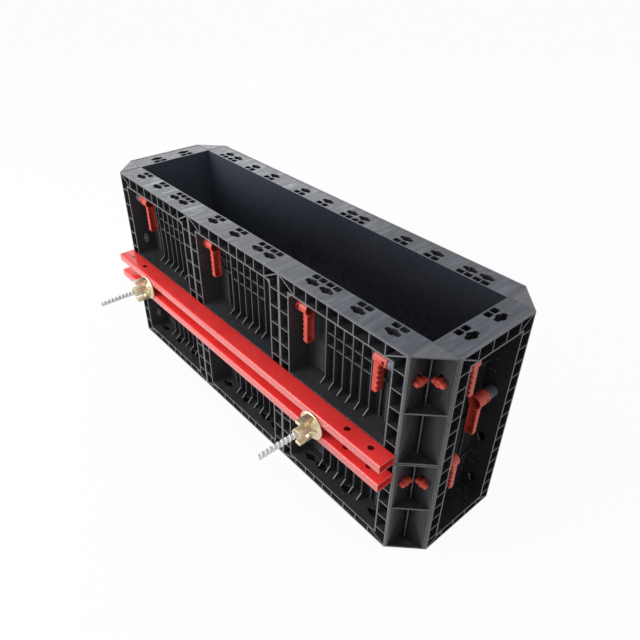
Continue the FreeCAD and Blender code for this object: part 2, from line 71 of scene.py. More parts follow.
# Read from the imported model: panel width W, row height H, cavity depth D and panel thickness T,
# the rods' height, reach and places, and the plane of the walers' outer faces.
LEFT, RIGHT = span("panel_front_middle_upper", 0)
W = RIGHT - LEFT
H = span("panel_front_middle_upper", 2)[1] / 2
D = span("panel_end_right", 1)[1] * 2
EDGE = W * 1.5
T = span("panel_end_right", 0)[1] - EDGE
LEVEL = T / 2
TIE = centre("tie_rod_left", 2)
ROD_REACH = span("tie_rod_left", 1)[1]
ROD_AT = {side: centre(f"tie_rod_{side}", 0) for side in ("left", "right")}
BEARING = span("waler_rear_upper", 1)[1]
ROWS = (("lower", 0.0), ("upper", H))

# Of the mouldings: thickness of walls, face plate and webs, and width of the frame at the sides,
# the top and the base. The pins lie PIN_EDGE from a row's top or foot.
WALL, PLATE, WEB = 4.0, 4.0, 3.0
SIDE, TOP, BASE = 37.0, 38.0, 28.0
PIN_EDGE = 77.0
PIN_LOW, PIN_HIGH = PIN_EDGE, H - PIN_EDGE
# How far a cutter stands past the wall that it goes through.
PAST = 2.0


class Surface:
    """Points, the corners of all faces in one row, and how many corners each face has."""

    def __init__(self, points, corners, counts):
        self.points = np.asarray(points, float).reshape(-1, 3)
        self.corners = np.asarray(corners, int).ravel()
        self.counts = np.asarray(counts, int).ravel()

    def starts(self):
        """Place of each face's first corner in the row of corners."""
        return np.concatenate(([0], np.cumsum(self.counts)[:-1]))

    def flipped(self):
        """The same faces, each with its corners in the other order."""
        first = np.repeat(self.starts(), self.counts)
        last = first + np.repeat(self.counts, self.counts) - 1
        here = np.arange(len(self.corners))
        return Surface(self.points, self.corners[first + last - here], self.counts)

    def volume(self):
        """Sum of the tetrahedra from the origin to every face, fanned from its first corner."""
        first = np.repeat(self.starts(), self.counts)
        place = np.arange(len(self.corners)) - first
        inside = (place > 0) & (place < np.repeat(self.counts, self.counts) - 1)
        at = np.flatnonzero(inside)
        a, b, c = (self.points[self.corners[i]] for i in (first[at], at, at + 1))
        return float(np.einsum("ij,ij->", a, np.cross(b, c))) / 6

    def outward(self):
        """The same closed surface with its faces pointing out."""
        return self.flipped() if self.volume() < 0 else self

    def moved(self, matrix):
        """The surface under a 4 x 4 matrix; a mirrored one has its faces turned back."""
        points = self.points @ matrix[:3, :3].T + matrix[:3, 3]
        moved = Surface(points, self.corners, self.counts)
        return moved.flipped() if np.linalg.det(matrix[:3, :3]) < 0 else moved

    def faces(self):
        """Middle, unit normal, and width of every face; the width of a strip is twice its area
        over half its outline."""
        first = np.repeat(self.starts(), self.counts)
        here = np.arange(len(self.corners))
        after = np.where(here - first + 1 < np.repeat(self.counts, self.counts), here + 1, first)
        a, b = self.points[self.corners], self.points[self.corners[after]]
        normal = np.add.reduceat(np.cross(a, b), self.starts())
        size = np.linalg.norm(normal, axis=1, keepdims=True)
        outline = np.add.reduceat(np.linalg.norm(b - a, axis=1), self.starts())
        middle = np.add.reduceat(a, self.starts()) / self.counts[:, None]
        return middle, normal / np.maximum(size, 1e-9), size[:, 0] / outline

    def __add__(self, other):
        return Surface(
            np.concatenate((self.points, other.points)),
            np.concatenate((self.corners, other.corners + len(self.points))),
            np.concatenate((self.counts, other.counts)),
        )

    def mesh(self, name, scale=1.0):
        """A Blender mesh of the surface, with its points times the scale."""
        mesh = bpy.data.meshes.new(name)
        mesh.vertices.add(len(self.points))
        mesh.vertices.foreach_set("co", (self.points * scale).astype(np.float32).ravel())
        mesh.loops.add(len(self.corners))
        mesh.loops.foreach_set("vertex_index", self.corners.astype(np.int32))
        mesh.polygons.add(len(self.counts))
        mesh.polygons.foreach_set("loop_start", self.starts().astype(np.int32))
        mesh.update(calc_edges=True)
        mesh.validate()
        return mesh


def together(surfaces):
    """All the surfaces as one."""
    whole = surfaces[0]
    for surface in surfaces[1:]:
        whole = whole + surface
    return whole


def skin(rings, joined=False):
    """A closed surface over rings of points, shape (rings, points, 3): every ring closes on
    itself, four neighbours make a face, and the first and last ring are capped or joined."""
    rings = np.asarray(rings, float)
    m, n = rings.shape[:2]
    i, j = np.meshgrid(np.arange(m if joined else m - 1), np.arange(n), indexing="ij")
    i2, j2 = (i + 1) % m, (j + 1) % n
    quads = np.stack((i * n + j, i * n + j2, i2 * n + j2, i2 * n + j), -1).reshape(-1, 4)
    corners, counts = quads.ravel(), np.full(len(quads), 4)
    if not joined:
        caps = np.concatenate((np.arange(n)[::-1], np.arange(n) + (m - 1) * n))
        corners, counts = np.concatenate((corners, caps)), np.concatenate((counts, [n, n]))
    return Surface(rings.reshape(-1, 3), corners, counts).outward()


# For each axis: the two coordinates of an outline across it, and its own.
AXES = {"x": (1, 2, 0), "y": (0, 2, 1), "z": (0, 1, 2)}


def carried(outline, axis, steps):
    """An outline of two coordinates carried along an axis: ring k is the outline at steps[k]."""
    outline, steps = np.asarray(outline, float), np.asarray(steps, float)
    rings = np.empty((len(steps), len(outline), 3))
    a, b, c = AXES[axis]
    rings[..., a], rings[..., b] = outline[:, 0], outline[:, 1]
    rings[..., c] = steps[:, None]
    return skin(rings)


def turned(profile, sides, axis="x"):
    """A closed profile of (place along the axis, radius) turned round the axis."""
    profile = np.asarray(profile, float)
    angle = np.arange(sides) * (2 * np.pi / sides)
    rings = np.empty((sides, len(profile), 3))
    a, b, c = AXES[axis]
    rings[..., c] = profile[:, 0]
    rings[..., a] = profile[:, 1] * np.cos(angle)[:, None]
    rings[..., b] = profile[:, 1] * np.sin(angle)[:, None]
    return skin(rings, joined=True)


def lobed(across, up, half, side, points=40, lobe=0.62):
    """Outline of a key: in polar form, the largest of a middle circle with the side as its radius
    and two smaller circles that reach out to the half length."""
    angle = np.arange(points) * (2 * np.pi / points)
    small = side * lobe
    far = half - small
    inside = small**2 - (far * np.sin(angle)) ** 2
    reach = far * np.abs(np.cos(angle)) + np.sqrt(np.maximum(inside, 0))
    radius = np.maximum(side, np.where(inside > 0, reach, 0))
    return np.stack((across + radius * np.cos(angle), up + radius * np.sin(angle)), -1)


def ring(across, up, radius, sides, start=0.0):
    """Outline of a regular polygon about a point, from the start angle on."""
    angle = start + np.arange(sides) * (2 * np.pi / sides)
    return np.stack((across + radius * np.cos(angle), up + radius * np.sin(angle)), -1)


def rounded(width, height, radius, steps=5):
    """Outline of a rectangle about the origin whose corners are quarter circles."""
    angle = np.linspace(0, np.pi / 2, steps + 1)
    quarter = np.stack((np.cos(angle), np.sin(angle)), -1) * radius
    turn = np.array([[1, 0, 0, 1], [0, -1, 1, 0], [-1, 0, 0, -1], [0, 1, -1, 0]]).reshape(4, 2, 2)
    corner = (width / 2 - radius, height / 2 - radius)
    middle = np.array([[1, 1], [-1, 1], [-1, -1], [1, -1]]) * corner
    return (quarter @ turn.transpose(0, 2, 1) + middle[:, None]).reshape(-1, 2)


def box(x0, x1, y0, y1, z0, z1):
    """A plain block: a rectangle carried along z."""
    return carried([(x0, y0), (x1, y0), (x1, y1), (x0, y1)], "z", (z0, z1))


def moulded(steps):
    """Boxes added and taken away in turn, (fill, x0, x1, y0, y1, z0, z1). The sides of all boxes
    make a grid of cells, each plastic or air, and a face stands wherever the two meet."""
    table = np.array([step[1:] for step in steps], float)
    lines = [np.unique(table[:, [i, i + 1]]) for i in (0, 2, 4)]
    middles = np.meshgrid(*[(line[1:] + line[:-1]) / 2 for line in lines], indexing="ij")
    filled = np.zeros(middles[0].shape, bool)
    for fill, *limits in steps:
        inside = np.ones_like(filled)
        for middle, low, high in zip(middles, limits[::2], limits[1::2]):
            inside &= (middle > low) & (middle < high)
        filled[inside] = bool(fill)
    filled = np.pad(filled, 1)
    shape = np.array([len(line) for line in lines])
    quads = []
    for axis in range(3):
        low = np.moveaxis(filled, axis, 0)[:-1].astype(int)
        high = np.moveaxis(filled, axis, 0)[1:].astype(int)
        b, c = (k for k in range(3) if k != axis)
        for way in (1, -1):
            at, j, k = np.nonzero(low - high == way)
            corner = np.empty((4, len(at), 3), int)
            corner[..., axis] = at
            corner[..., b] = j - 1 + np.array([0, 1, 1, 0])[:, None]
            corner[..., c] = k - 1 + np.array([0, 0, 1, 1])[:, None]
            index = np.ravel_multi_index(np.moveaxis(corner, -1, 0), shape).T
            quads.append(index if (way == 1) == (axis != 1) else index[:, ::-1])
    quads = np.concatenate(quads)
    used, corners = np.unique(quads, return_inverse=True)
    place = np.unravel_index(used, shape)
    points = np.stack([line[at] for line, at in zip(lines, place)], -1)
    return Surface(points, corners, np.full(len(quads), 4)).outward()


SHARP = math.radians(30)


def worked(surface, chamfer=0.0, segments=1, cut=None):
    """The surface after its sharp edges are chamfered and the shapes in cut are taken out of it."""
    work = bpy.data.objects.new("work", surface.mesh("work"))
    bpy.context.scene.collection.objects.link(work)
    spare = [work]
    if chamfer:
        edge = work.modifiers.new("edge", "BEVEL")
        edge.width, edge.segments = chamfer, segments
        edge.limit_method, edge.angle_limit = "ANGLE", SHARP
    if cut is not None:
        tool = bpy.data.objects.new("tool", cut.mesh("tool"))
        bpy.context.scene.collection.objects.link(tool)
        spare.append(tool)
        hole = work.modifiers.new("hole", "BOOLEAN")
        hole.object, hole.operation = tool, "DIFFERENCE"
        hole.solver, hole.use_self = "EXACT", True
    done = work.evaluated_get(bpy.context.evaluated_depsgraph_get())
    mesh = done.to_mesh()
    points = np.empty(len(mesh.vertices) * 3)
    mesh.vertices.foreach_get("co", points)
    corners = np.empty(len(mesh.loops), np.int32)
    mesh.loops.foreach_get("vertex_index", corners)
    counts = np.empty(len(mesh.polygons), np.int32)
    mesh.polygons.foreach_get("loop_total", counts)
    result = Surface(points, corners, counts)
    done.to_mesh_clear()
    for item in spare:
        data = item.data
        bpy.data.objects.remove(item)
        bpy.data.meshes.remove(data)
    if len(result.counts) == 0:
        raise RuntimeError("nothing is left of a piece after its holes are cut")
    return result


def at(x, y, z, spin=0.0, upright=False, mirror=False):
    """Matrix of a piece: mirrored in x if asked, stood up from lying flat, turned about Z and
    brought to its place."""
    matrix = Matrix.Translation((x, y, z)) @ Matrix.Rotation(math.radians(spin), 4, "Z")
    if upright:
        matrix = matrix @ Matrix.Rotation(math.pi / 2, 4, "X")
    if mirror:
        matrix = matrix @ Matrix.Diagonal((-1, 1, 1, 1))
    return np.array(matrix)


def wear_and_highlight(surface):
    """How light each face is made, 0 to 1, where worn and as painted highlight: rims and ribs that face away
    from the form, the ribs lighter higher up in each row; a painted glint on the ribs' feet; the slanted
    faces of the corner pieces; narrow chamfers as painted edge highlights; and the top of the form."""
    middle, normal, width = surface.faces()
    out_x, out_y = np.abs(middle[:, 0]) - EDGE, np.abs(middle[:, 1]) - D / 2
    along_y = out_y > out_x
    away = normal[:, :2] * np.sign(middle[:, :2])
    facing = np.where(along_y, away[:, 1], away[:, 0])
    out = np.maximum(out_x, out_y)
    rise = middle[:, 2] % H / H
    recess = (out > 9) & (out < T - 20)
    rim = (facing > 0.5) & (out > T - 2)
    rib = (facing > 0.5) & recess & (rise < 0.87)
    foot = (facing > 0.3) & (normal[:, 2] > 0.3) & recess
    slope = (np.abs(normal[:, :2]).min(1) > 0.5) & (out_x > -1) & (out_y > -1)
    chamfer = (np.abs(normal).max(1) < 0.95) & (width < 1.02)
    top = (normal[:, 2] > 0.9) & (middle[:, 2] > H * 2 - 0.2)
    # Rims that face out are lighter where worn and as painted highlight. The upright ribs get a painted
    # highlight that grows higher up each row, and their feet a painted glint.
    amounts = [rim * np.where(along_y, 0.9, 0.55), rib * (0.15 + 0.45 * rise)]
    return np.maximum.reduce([*amounts, foot, slope * 0.6, chamfer * 0.8, top * 0.5])


def put(name, surface, matrix, slot, body="form", node=None, smooth=25):
    """One finished piece: its mesh in place and in metres, smooth where faces meet at less than
    that many degrees, in the slot's finish, riding on its body."""
    surface = surface.moved(matrix)
    mesh = surface.mesh(name, 0.001)
    if slot == "black_plastic":
        # Per face: how much worn grey and painted highlight the black plastic gets.
        worn_and_highlit = mesh.attributes.new("wear_and_highlight", "FLOAT", "FACE")
        worn_and_highlit.data.foreach_set("value", wear_and_highlight(surface).astype(np.float32))
    mesh.shade_smooth()
    mesh.set_sharp_from_angle(angle=math.radians(smooth))
    mesh.materials.append(finish(slot))
    piece = bpy.data.objects.new(name, mesh)
    bpy.context.scene.collection.objects.link(piece)
    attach(piece, body)
    if node:
        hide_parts(node)


class Tone:
    """A value in a material's node tree; Python's operators on it add Math nodes."""

    def __init__(self, finish, socket):
        self.finish, self.socket = finish, socket

    def math(self, operation, *values):
        """The value of a Math node on these values."""
        return self.finish.node("ShaderNodeMath", {"operation": operation}, dict(enumerate(values)))

    def __add__(self, other):
        return self.math("ADD", self, other)

    def __radd__(self, other):
        return self.math("ADD", other, self)

    def __sub__(self, other):
        return self.math("SUBTRACT", self, other)

    def __rsub__(self, other):
        return self.math("SUBTRACT", other, self)

    def __mul__(self, other):
        return self.math("MULTIPLY", self, other)

    def __rmul__(self, other):
        return self.math("MULTIPLY", other, self)

    def __abs__(self):
        return self.math("ABSOLUTE", self)

    def larger(self, other):
        return self.math("MAXIMUM", self, other)


class Finish:
    """One material: its node tree, and the ways its patterns are written."""

    def __init__(self, name):
        self.material = bpy.data.materials.new("look_" + name)
        self.material.use_nodes = True
        self.tree = self.material.node_tree
        self.tree.nodes.clear()
        self.place = self.node("ShaderNodeTexCoord", output="Object")

    def node(self, kind, settings=None, values=None, output=0):
        """A node of that type: its settings first, then its sockets' values or links."""
        node = self.tree.nodes.new(kind)
        for key, value in (settings or {}).items():
            setattr(node, key, value)
        for key, value in (values or {}).items():
            if isinstance(value, Tone):
                self.tree.links.new(value.socket, node.inputs[key])
            else:
                node.inputs[key].default_value = value
        return Tone(self, node.outputs[output])

    def noise(self, scale, detail=4.0, rough=0.55, stretch=None, turn=(0, 0, 0)):
        """Noise on the piece's own coordinates, turned and stretched if asked."""
        place = self.place
        if stretch:
            values = {"Vector": place, "Rotation": turn, "Scale": stretch}
            place = self.node("ShaderNodeMapping", None, values)
        values = {"Vector": place, "Scale": scale, "Detail": detail, "Roughness": rough}
        return self.node("ShaderNodeTexNoise", None, values)

    def between(self, value, low, high, to_low=0.0, to_high=1.0):
        """The value mapped from low..high to to_low..to_high with a soft step."""
        values = {"Value": value, "From Min": low, "From Max": high}
        values.update({"To Min": to_low, "To Max": to_high})
        return self.node("ShaderNodeMapRange", {"interpolation_type": "SMOOTHSTEP"}, values)

    def mix(self, factor, first, second):
        """The first colour, with the second over it by the factor."""
        first, second = (v if isinstance(v, Tone) else (*v, 1.0) for v in (first, second))
        settings = {"data_type": "RGBA", "clamp_factor": True}
        return self.node("ShaderNodeMix", settings, {0: factor, 6: first, 7: second}, 2)

    def axes(self):
        """The piece's own x, y and z, in metres."""
        node = self.node("ShaderNodeSeparateXYZ", None, {0: self.place}).socket.node
        return [Tone(self, socket) for socket in node.outputs]

    def facing_up(self):
        """The z of the surface's normal: 1 on a level top, 0 on an upright side."""
        normal = self.node("ShaderNodeNewGeometry", output="Normal")
        node = self.node("ShaderNodeSeparateXYZ", None, {0: normal}).socket.node
        return Tone(self, node.outputs[2])

    def bump(self, height, strength, distance):
        """A normal that follows the height, at most the distance in metres."""
        values = {"Strength": strength, "Distance": distance, "Height": height}
        return self.node("ShaderNodeBump", None, values)

    def shade(self, **sockets):
        """The surface shader; a socket's name is written with _ for a space."""
        values = {key.replace("_", " "): value for key, value in sockets.items()}
        shader = self.node("ShaderNodeBsdfPrincipled", None, values)
        self.node_output(shader)
        return self.material

    def node_output(self, shader):
        """Makes the shader the material's surface."""
        output = self.tree.nodes.new("ShaderNodeOutputMaterial")
        self.tree.links.new(shader.socket, output.inputs["Surface"])


def colour(value):
    """A colour property as plain numbers."""
    return tuple(value)[:3]


# Tints that only the finishes use.
DUST = (0.13, 0.13, 0.135)
SCUFF = (0.20, 0.20, 0.21)
# Painted shade for the faces beyond the form's ends: the end panels and the corner legs there.
END_SHADE = (0.0165, 0.0170, 0.0195)
# Inside the form: a dark bluish colour, and a lighter one toward the left end that is painted sheen.
INNER_NEAR, INNER_FAR_SHEEN = (0.0185, 0.0210, 0.0290), (0.0460, 0.0540, 0.0720)
GRIME = (0.30, 0.045, 0.03)
# PAINT_SIDE_REFLECTION is a painted reflection on the walers' upright sides.
PAINT_SIDE_REFLECTION, PAINT_MARK, PAINT_CHIP = (0.50, 0.115, 0.110), (0.80, 0.26, 0.22), (0.10, 0.03, 0.028)
DULL_STEEL = (0.36, 0.36, 0.37)
ROSY, CAST_SPOT = (0.52, 0.30, 0.22), (0.25, 0.17, 0.08)
DEEP_GREY = (0.05, 0.052, 0.058)


def black_plastic(look):
    """Moulded black plastic: cloudy colour, painted shade past the ends, darker and bluish inside the form
    with a painted sheen toward the left end, a fine grain, rims and ribs lighter where worn and as painted
    highlights, a streaky painted sheen on the top flanges, dust, scratches and scuffs."""
    f = Finish("black_plastic")
    x, y, z = f.axes()
    past_end = abs(x) - EDGE / 1000
    out = past_end.larger(abs(y) - D / 2000)
    crown = H * 0.002
    cloud = f.noise(11.0, 5.0, 0.6)
    patch = f.noise(52.0, 6.0, 0.65)
    worn_and_highlit = f.node("ShaderNodeAttribute", {"attribute_name": "wear_and_highlight"}, output="Fac")
    inside = 1 - f.between(out, 0.0004, 0.0012)
    level = f.between(f.facing_up(), 0.7, 0.95)
    top = level * f.between(z, crown - 0.004, crown - 0.002)
    streak = f.noise(22.0, 5.0, 0.6, (3.2, 0.5, 1.0), (0, 0, 0.6))
    # Painted sheen: streaks on the top flanges made lighter, growing from the right end toward the left end.
    pale_sheen = f.between(streak, 0.50, 0.70) * f.between(x, 0.25, -0.35, 0.10, 0.75)
    dust = level * f.between(patch, 0.52, 0.78) * look.dust
    # Painted sheen: the top flanges get a lighter, streaky grey.
    top_sheen = top * f.between(streak, 0.30, 0.72, 0.70, 1.0)
    lines = f.noise(7.0, 3.0, 0.5, (1.0, 1.0, 26.0), (0.2, 0.5, 0.3))
    scratch = f.between(lines, 0.66, 0.72) * f.between(cloud, 0.48, 0.62)
    smear = f.between(f.noise(9.0, 7.0, 0.75, (0.5, 1.0, 1.5)), 0.57, 0.80)
    base = f.mix(f.between(cloud, 0.3, 0.7), colour(look.plastic), colour(look.plastic_pale))
    # Painted shade: faces beyond the ends of the form are darkened.
    base = f.mix(f.between(past_end, 0.0005, 0.0020) * 0.9, base, END_SHADE)
    # Inside the form the colour is darker and bluish, and a painted sheen lightens it toward the left end.
    base = f.mix(inside * 0.9, base, f.mix(f.between(x, 0.1, -0.55), INNER_NEAR, INNER_FAR_SHEEN))
    base = f.mix(top_sheen, base, colour(look.top_sheen))
    base = f.mix(top * pale_sheen, base, colour(look.streak))
    # Worn grey and painted highlight on rims, ribs, feet and chamfers.
    base = f.mix(worn_and_highlit * f.between(patch, 0.25, 0.6, 0.6, 1.0), base, colour(look.rim))
    base = f.mix(dust, base, DUST)
    base = f.mix(inside * smear * 0.08, base, SCUFF)
    base = f.mix(scratch * 0.15, base, DUST)
    rough = f.between(patch, 0.25, 0.75, look.gloss - 0.06, look.gloss + 0.08) + dust * 0.25
    rough = rough + top * f.between(streak, 0.3, 0.7, -0.04, 0.10)
    grain = f.noise(1500.0, 2.0, 0.5) * 0.6 + f.noise(140.0, 3.0, 0.5) + top * streak * 0.8
    return f.shade(
        Base_Color=base,
        Roughness=rough,
        Normal=f.bump(grain, 0.10, 0.0006),
        Specular_IOR_Level=0.22,
        Coat_Weight=top * f.between(streak, 0.30, 0.70, 0.10, 0.45),
        Coat_Roughness=0.28,
    )


def red_plastic(look):
    """Red moulded plastic, a little chalky, with paler worn patches and grime."""
    f = Finish("red_plastic")
    cloud = f.noise(60.0, 5.0, 0.6)
    fine = f.noise(420.0, 4.0, 0.6)
    base = f.mix(f.between(cloud, 0.35, 0.7), colour(look.handle), colour(look.handle_pale))
    base = f.mix(f.between(fine, 0.60, 0.78) * 0.35, base, GRIME)
    rough = f.between(cloud, 0.3, 0.7, 0.38, 0.52)
    chalk = f.bump(f.noise(900.0, 3.0, 0.6), 0.15, 0.0005)
    return f.shade(Base_Color=base, Roughness=rough, Normal=chalk, Specular_IOR_Level=0.4)


def red_paint(look):
    """Gloss red paint on steel: upright sides paler pink as a painted reflection, slight waviness, handling
    marks, small dark chips."""
    f = Finish("red_paint")
    cloud = f.noise(14.0, 5.0, 0.6)
    marks = f.between(f.noise(55.0, 7.0, 0.7, (0.35, 1.0, 1.0)), 0.58, 0.74)
    chips = f.between(f.noise(260.0, 4.0, 0.6), 0.735, 0.765)
    base = f.mix(f.between(cloud, 0.3, 0.7), colour(look.paint), colour(look.paint_deep))
    # Painted reflection: upright sides are paler pink, as if they mirrored the bright floor.
    side = 1 - f.between(abs(f.facing_up()), 0.3, 0.8)
    base = f.mix(side, base, PAINT_SIDE_REFLECTION)
    base = f.mix(marks * 0.20, base, PAINT_MARK)
    base = f.mix(chips * 0.8, base, PAINT_CHIP)
    rough = f.between(cloud, 0.3, 0.7, 0.16, 0.24) + marks * 0.14 + chips * 0.3
    return f.shade(
        Base_Color=base,
        Roughness=rough,
        Normal=f.bump(f.noise(330.0, 2.0, 0.5) - chips * 0.8, 0.06, 0.0006),
        Specular_IOR_Level=0.55,
    )


def rod_steel(look):
    """Plated steel rod with grey specks and a few duller patches."""
    f = Finish("rod_steel")
    speck = f.between(f.noise(300.0, 5.0, 0.65), 0.45, 0.7)
    cloud = f.noise(40.0, 4.0, 0.6)
    base = f.mix(speck * 0.5, colour(look.steel), DULL_STEEL)
    base = f.mix(f.between(cloud, 0.62, 0.75) * 0.3, base, DULL_STEEL)
    rough = f.between(cloud, 0.3, 0.7, 0.32, 0.46) + speck * 0.10
    return f.shade(Base_Color=base, Roughness=rough, Metallic=0.35, Normal=f.bump(speck, 0.12, 0.0004))


def zinc_yellow(look):
    """Cast iron with yellow zinc plating: grainy casting skin, deeper and rosy patches."""
    f = Finish("zinc_yellow")
    cloud = f.noise(38.0, 4.0, 0.6)
    tint = f.noise(70.0, 3.0, 0.5)
    grain = f.noise(620.0, 4.0, 0.6)
    base = f.mix(f.between(cloud, 0.35, 0.65), colour(look.zinc), colour(look.zinc_deep))
    base = f.mix(f.between(tint, 0.56, 0.72) * 0.45, base, ROSY)
    base = f.mix(f.between(grain, 0.6, 0.75) * 0.4, base, CAST_SPOT)
    rough = f.between(grain, 0.3, 0.7, 0.28, 0.44)
    return f.shade(Base_Color=base, Roughness=rough, Metallic=0.75, Normal=f.bump(grain, 0.25, 0.0007))


def grey_plastic(look):
    """Dull grey plastic with a soft mottle."""
    f = Finish("grey_plastic")
    mottle = f.noise(150.0, 5.0, 0.6)
    base = f.mix(f.between(mottle, 0.3, 0.7), colour(look.grey), DEEP_GREY)
    rough = f.between(mottle, 0.3, 0.7, 0.42, 0.58)
    return f.shade(Base_Color=base, Roughness=rough, Normal=f.bump(f.noise(800.0, 3.0, 0.6), 0.12, 0.0005))


FINISHES = {
    "black_plastic": black_plastic,
    "red_plastic": red_plastic,
    "red_paint": red_paint,
    "rod_steel": rod_steel,
    "zinc_yellow": zinc_yellow,
    "grey_plastic": grey_plastic,
}


def finish(name):
    """A finish, made when the first piece asks for it."""
    return bpy.data.materials.get("look_" + name) or FINISHES[name](bpy.context.scene.form_look)


def brace(x0, y0, x1, y1, thick, low, high):
    """A straight rib between two points of the panel's face, with a small boss midway."""
    along = np.array([x1 - x0, y1 - y0], float)
    side = np.array([-along[1], along[0]]) / np.hypot(*along) * (thick / 2)
    ends = np.array([(x0, y0), (x1, y1)], float)
    outline = np.stack((ends[0] - side, ends[1] - side, ends[1] + side, ends[0] + side))
    boss = carried(ring(*ends.mean(0), thick, 10), "z", (low, high - 1.5))
    return carried(outline, "z", (low, high)) + boss


def hollow_fill(x, y, way_x, way_y, radius, low, high):
    """The rounded inside corner of a recess: between two walls and a quarter circle."""
    angle = np.linspace(0, np.pi / 2, 7)
    arc_x = x + way_x * radius * (1 - np.sin(angle))
    arc = np.stack((arc_x, y + way_y * radius * (1 - np.cos(angle))), -1)
    return carried(np.concatenate(([(x - way_x, y - way_y)], arc)), "z", (low, high))


def panel_frame(width, height, webs, side_webs, sizes):
    """Steps of a panel's moulding: plate, outer and inner walls, and the webs of the frame."""
    half = width / 2
    rim = T - sizes.web_step
    steps = [
        (1, -half, half, 0, height, 0, T),
        (0, WALL - half, half - WALL, WALL, height - WALL, PLATE, T),
        (1, SIDE - WALL - half, half - SIDE + WALL, BASE - WALL, height - TOP + WALL, 0, T),
        (0, SIDE - half, half - SIDE, BASE, height - TOP, PLATE, T),
    ]
    for low, high in ((WALL, BASE - WALL), (height - TOP + WALL, height - WALL)):
        steps += [(1, x - WEB / 2, x + WEB / 2, low, high, PLATE, rim) for x in webs]
    for low, high in ((WALL - half, SIDE - WALL - half), (half - SIDE + WALL, half - WALL)):
        steps += [(1, low, high, y - WEB / 2, y + WEB / 2, PLATE, rim) for y in side_webs]
    steps.append((0, -half, half, height - sizes.lip_rise, height, 0, T - sizes.lip_width))
    return steps


def panel_braces(width, height, webs, rim):
    """The braces in the frame's four corners, from the outer corner to the foot of a web."""
    edge = width / 2 - WALL
    parts = []
    for way, web in ((-1, webs[0]), (1, webs[-1])):
        parts.append(brace(edge * way, WALL, web, BASE - WALL, WEB, PLATE, rim))
        parts.append(brace(edge * way, height - WALL, web, height - TOP + WALL, WEB, PLATE, rim))
    return together(parts)


# The two square holes beside a key hole: size, corner radius, shift along the flange and level.
SQUARE, SQUARE_ROUND, SQUARE_SHIFT, SQUARE_LEVEL = (20, 16.6), 3, 11.5, 12.6
# The edges of a key hole's skirt, a dark wall that stands in for the shade inside the hole: size as a
# multiple of the hole's, and height from the flange.
SHADE_SKIRT = ((1.05, -3), (1.05, -24), (1.14, -24), (1.14, -3))


def paw(x, height, shelf, sizes):
    """Cutter of one key place in the top flange: a lobed hole with two square holes towards the
    contact face, and the lobed hole of the wall below."""
    key = lobed(x, LEVEL, sizes.key_half, sizes.key_side)
    flange = (height - WALL - PAST, height + PAST)
    parts = [carried(key, "y", flange), carried(key, "y", (shelf - PAST, shelf + WALL + PAST))]
    for shift in (-SQUARE_SHIFT, SQUARE_SHIFT):
        outline = rounded(*SQUARE, SQUARE_ROUND, 3) + (x + shift, SQUARE_LEVEL)
        parts.append(carried(outline, "y", flange))
    return together(parts)


def key_shade_skirt(x, height, sizes):
    """The short dark wall that hangs from the flange round a lobed hole, a sheet that stands in for the shade
    inside the hole: the hole's outline swollen about its middle, down inside and up outside."""
    outline = lobed(x, LEVEL, sizes.key_half, sizes.key_side)
    middle = np.array([x, LEVEL])
    rings = np.empty((len(SHADE_SKIRT), len(outline), 3))
    for k, (swell, y) in enumerate(SHADE_SKIRT):
        rings[k][:, [0, 2]] = middle + (outline - middle) * swell
        rings[k][:, 1] = height + y
    return skin(rings, joined=True)


def side_slot(width, y, sizes, ways=(-1, 1)):
    """Cutter of the lobed slots through both walls of the side frames at that height."""
    outline = lobed(y, LEVEL, sizes.slot_half, sizes.key_side)
    past = 1.5
    parts = []
    for way in ways:
        for x in (width / 2 - SIDE, width / 2 - WALL):
            low, high = sorted((way * (x - past), way * (x + WALL + past)))
            parts.append(carried(outline, "x", (low, high)))
    return together(parts)


# Places of a long-side panel's webs, ribs and key holes along it, and of its side webs and cross
# ribs up it.
LONG_WEBS = np.concatenate((-141 + 45.5 * np.arange(4), -4.5 + 35.5 * np.arange(1, 4), [143]))
LONG_SIDES = 48 + 50.0 * np.arange(5)
RIBS = -70 + 30.0 * np.arange(6)
LOW_RIBS = (-112.0, -92.0)
CROSS_RIBS = (142.0, 177.0)
KEYS = (-126.5, -26.5, 73.5, 120.5)
# Half thickness of the upright ribs and of all other ribs, and how high the low ones stand.
RIB_HALF, LINE_HALF = 1.75, 1.5
LOW_TOP, CROSS_TOP, END_TOP = 14, 13, 12
# Radius of a tie rod's hole in the face plate, and its shift from the panel's middle.
TIE_HOLE, TIE_SHIFT = 10, 17.5


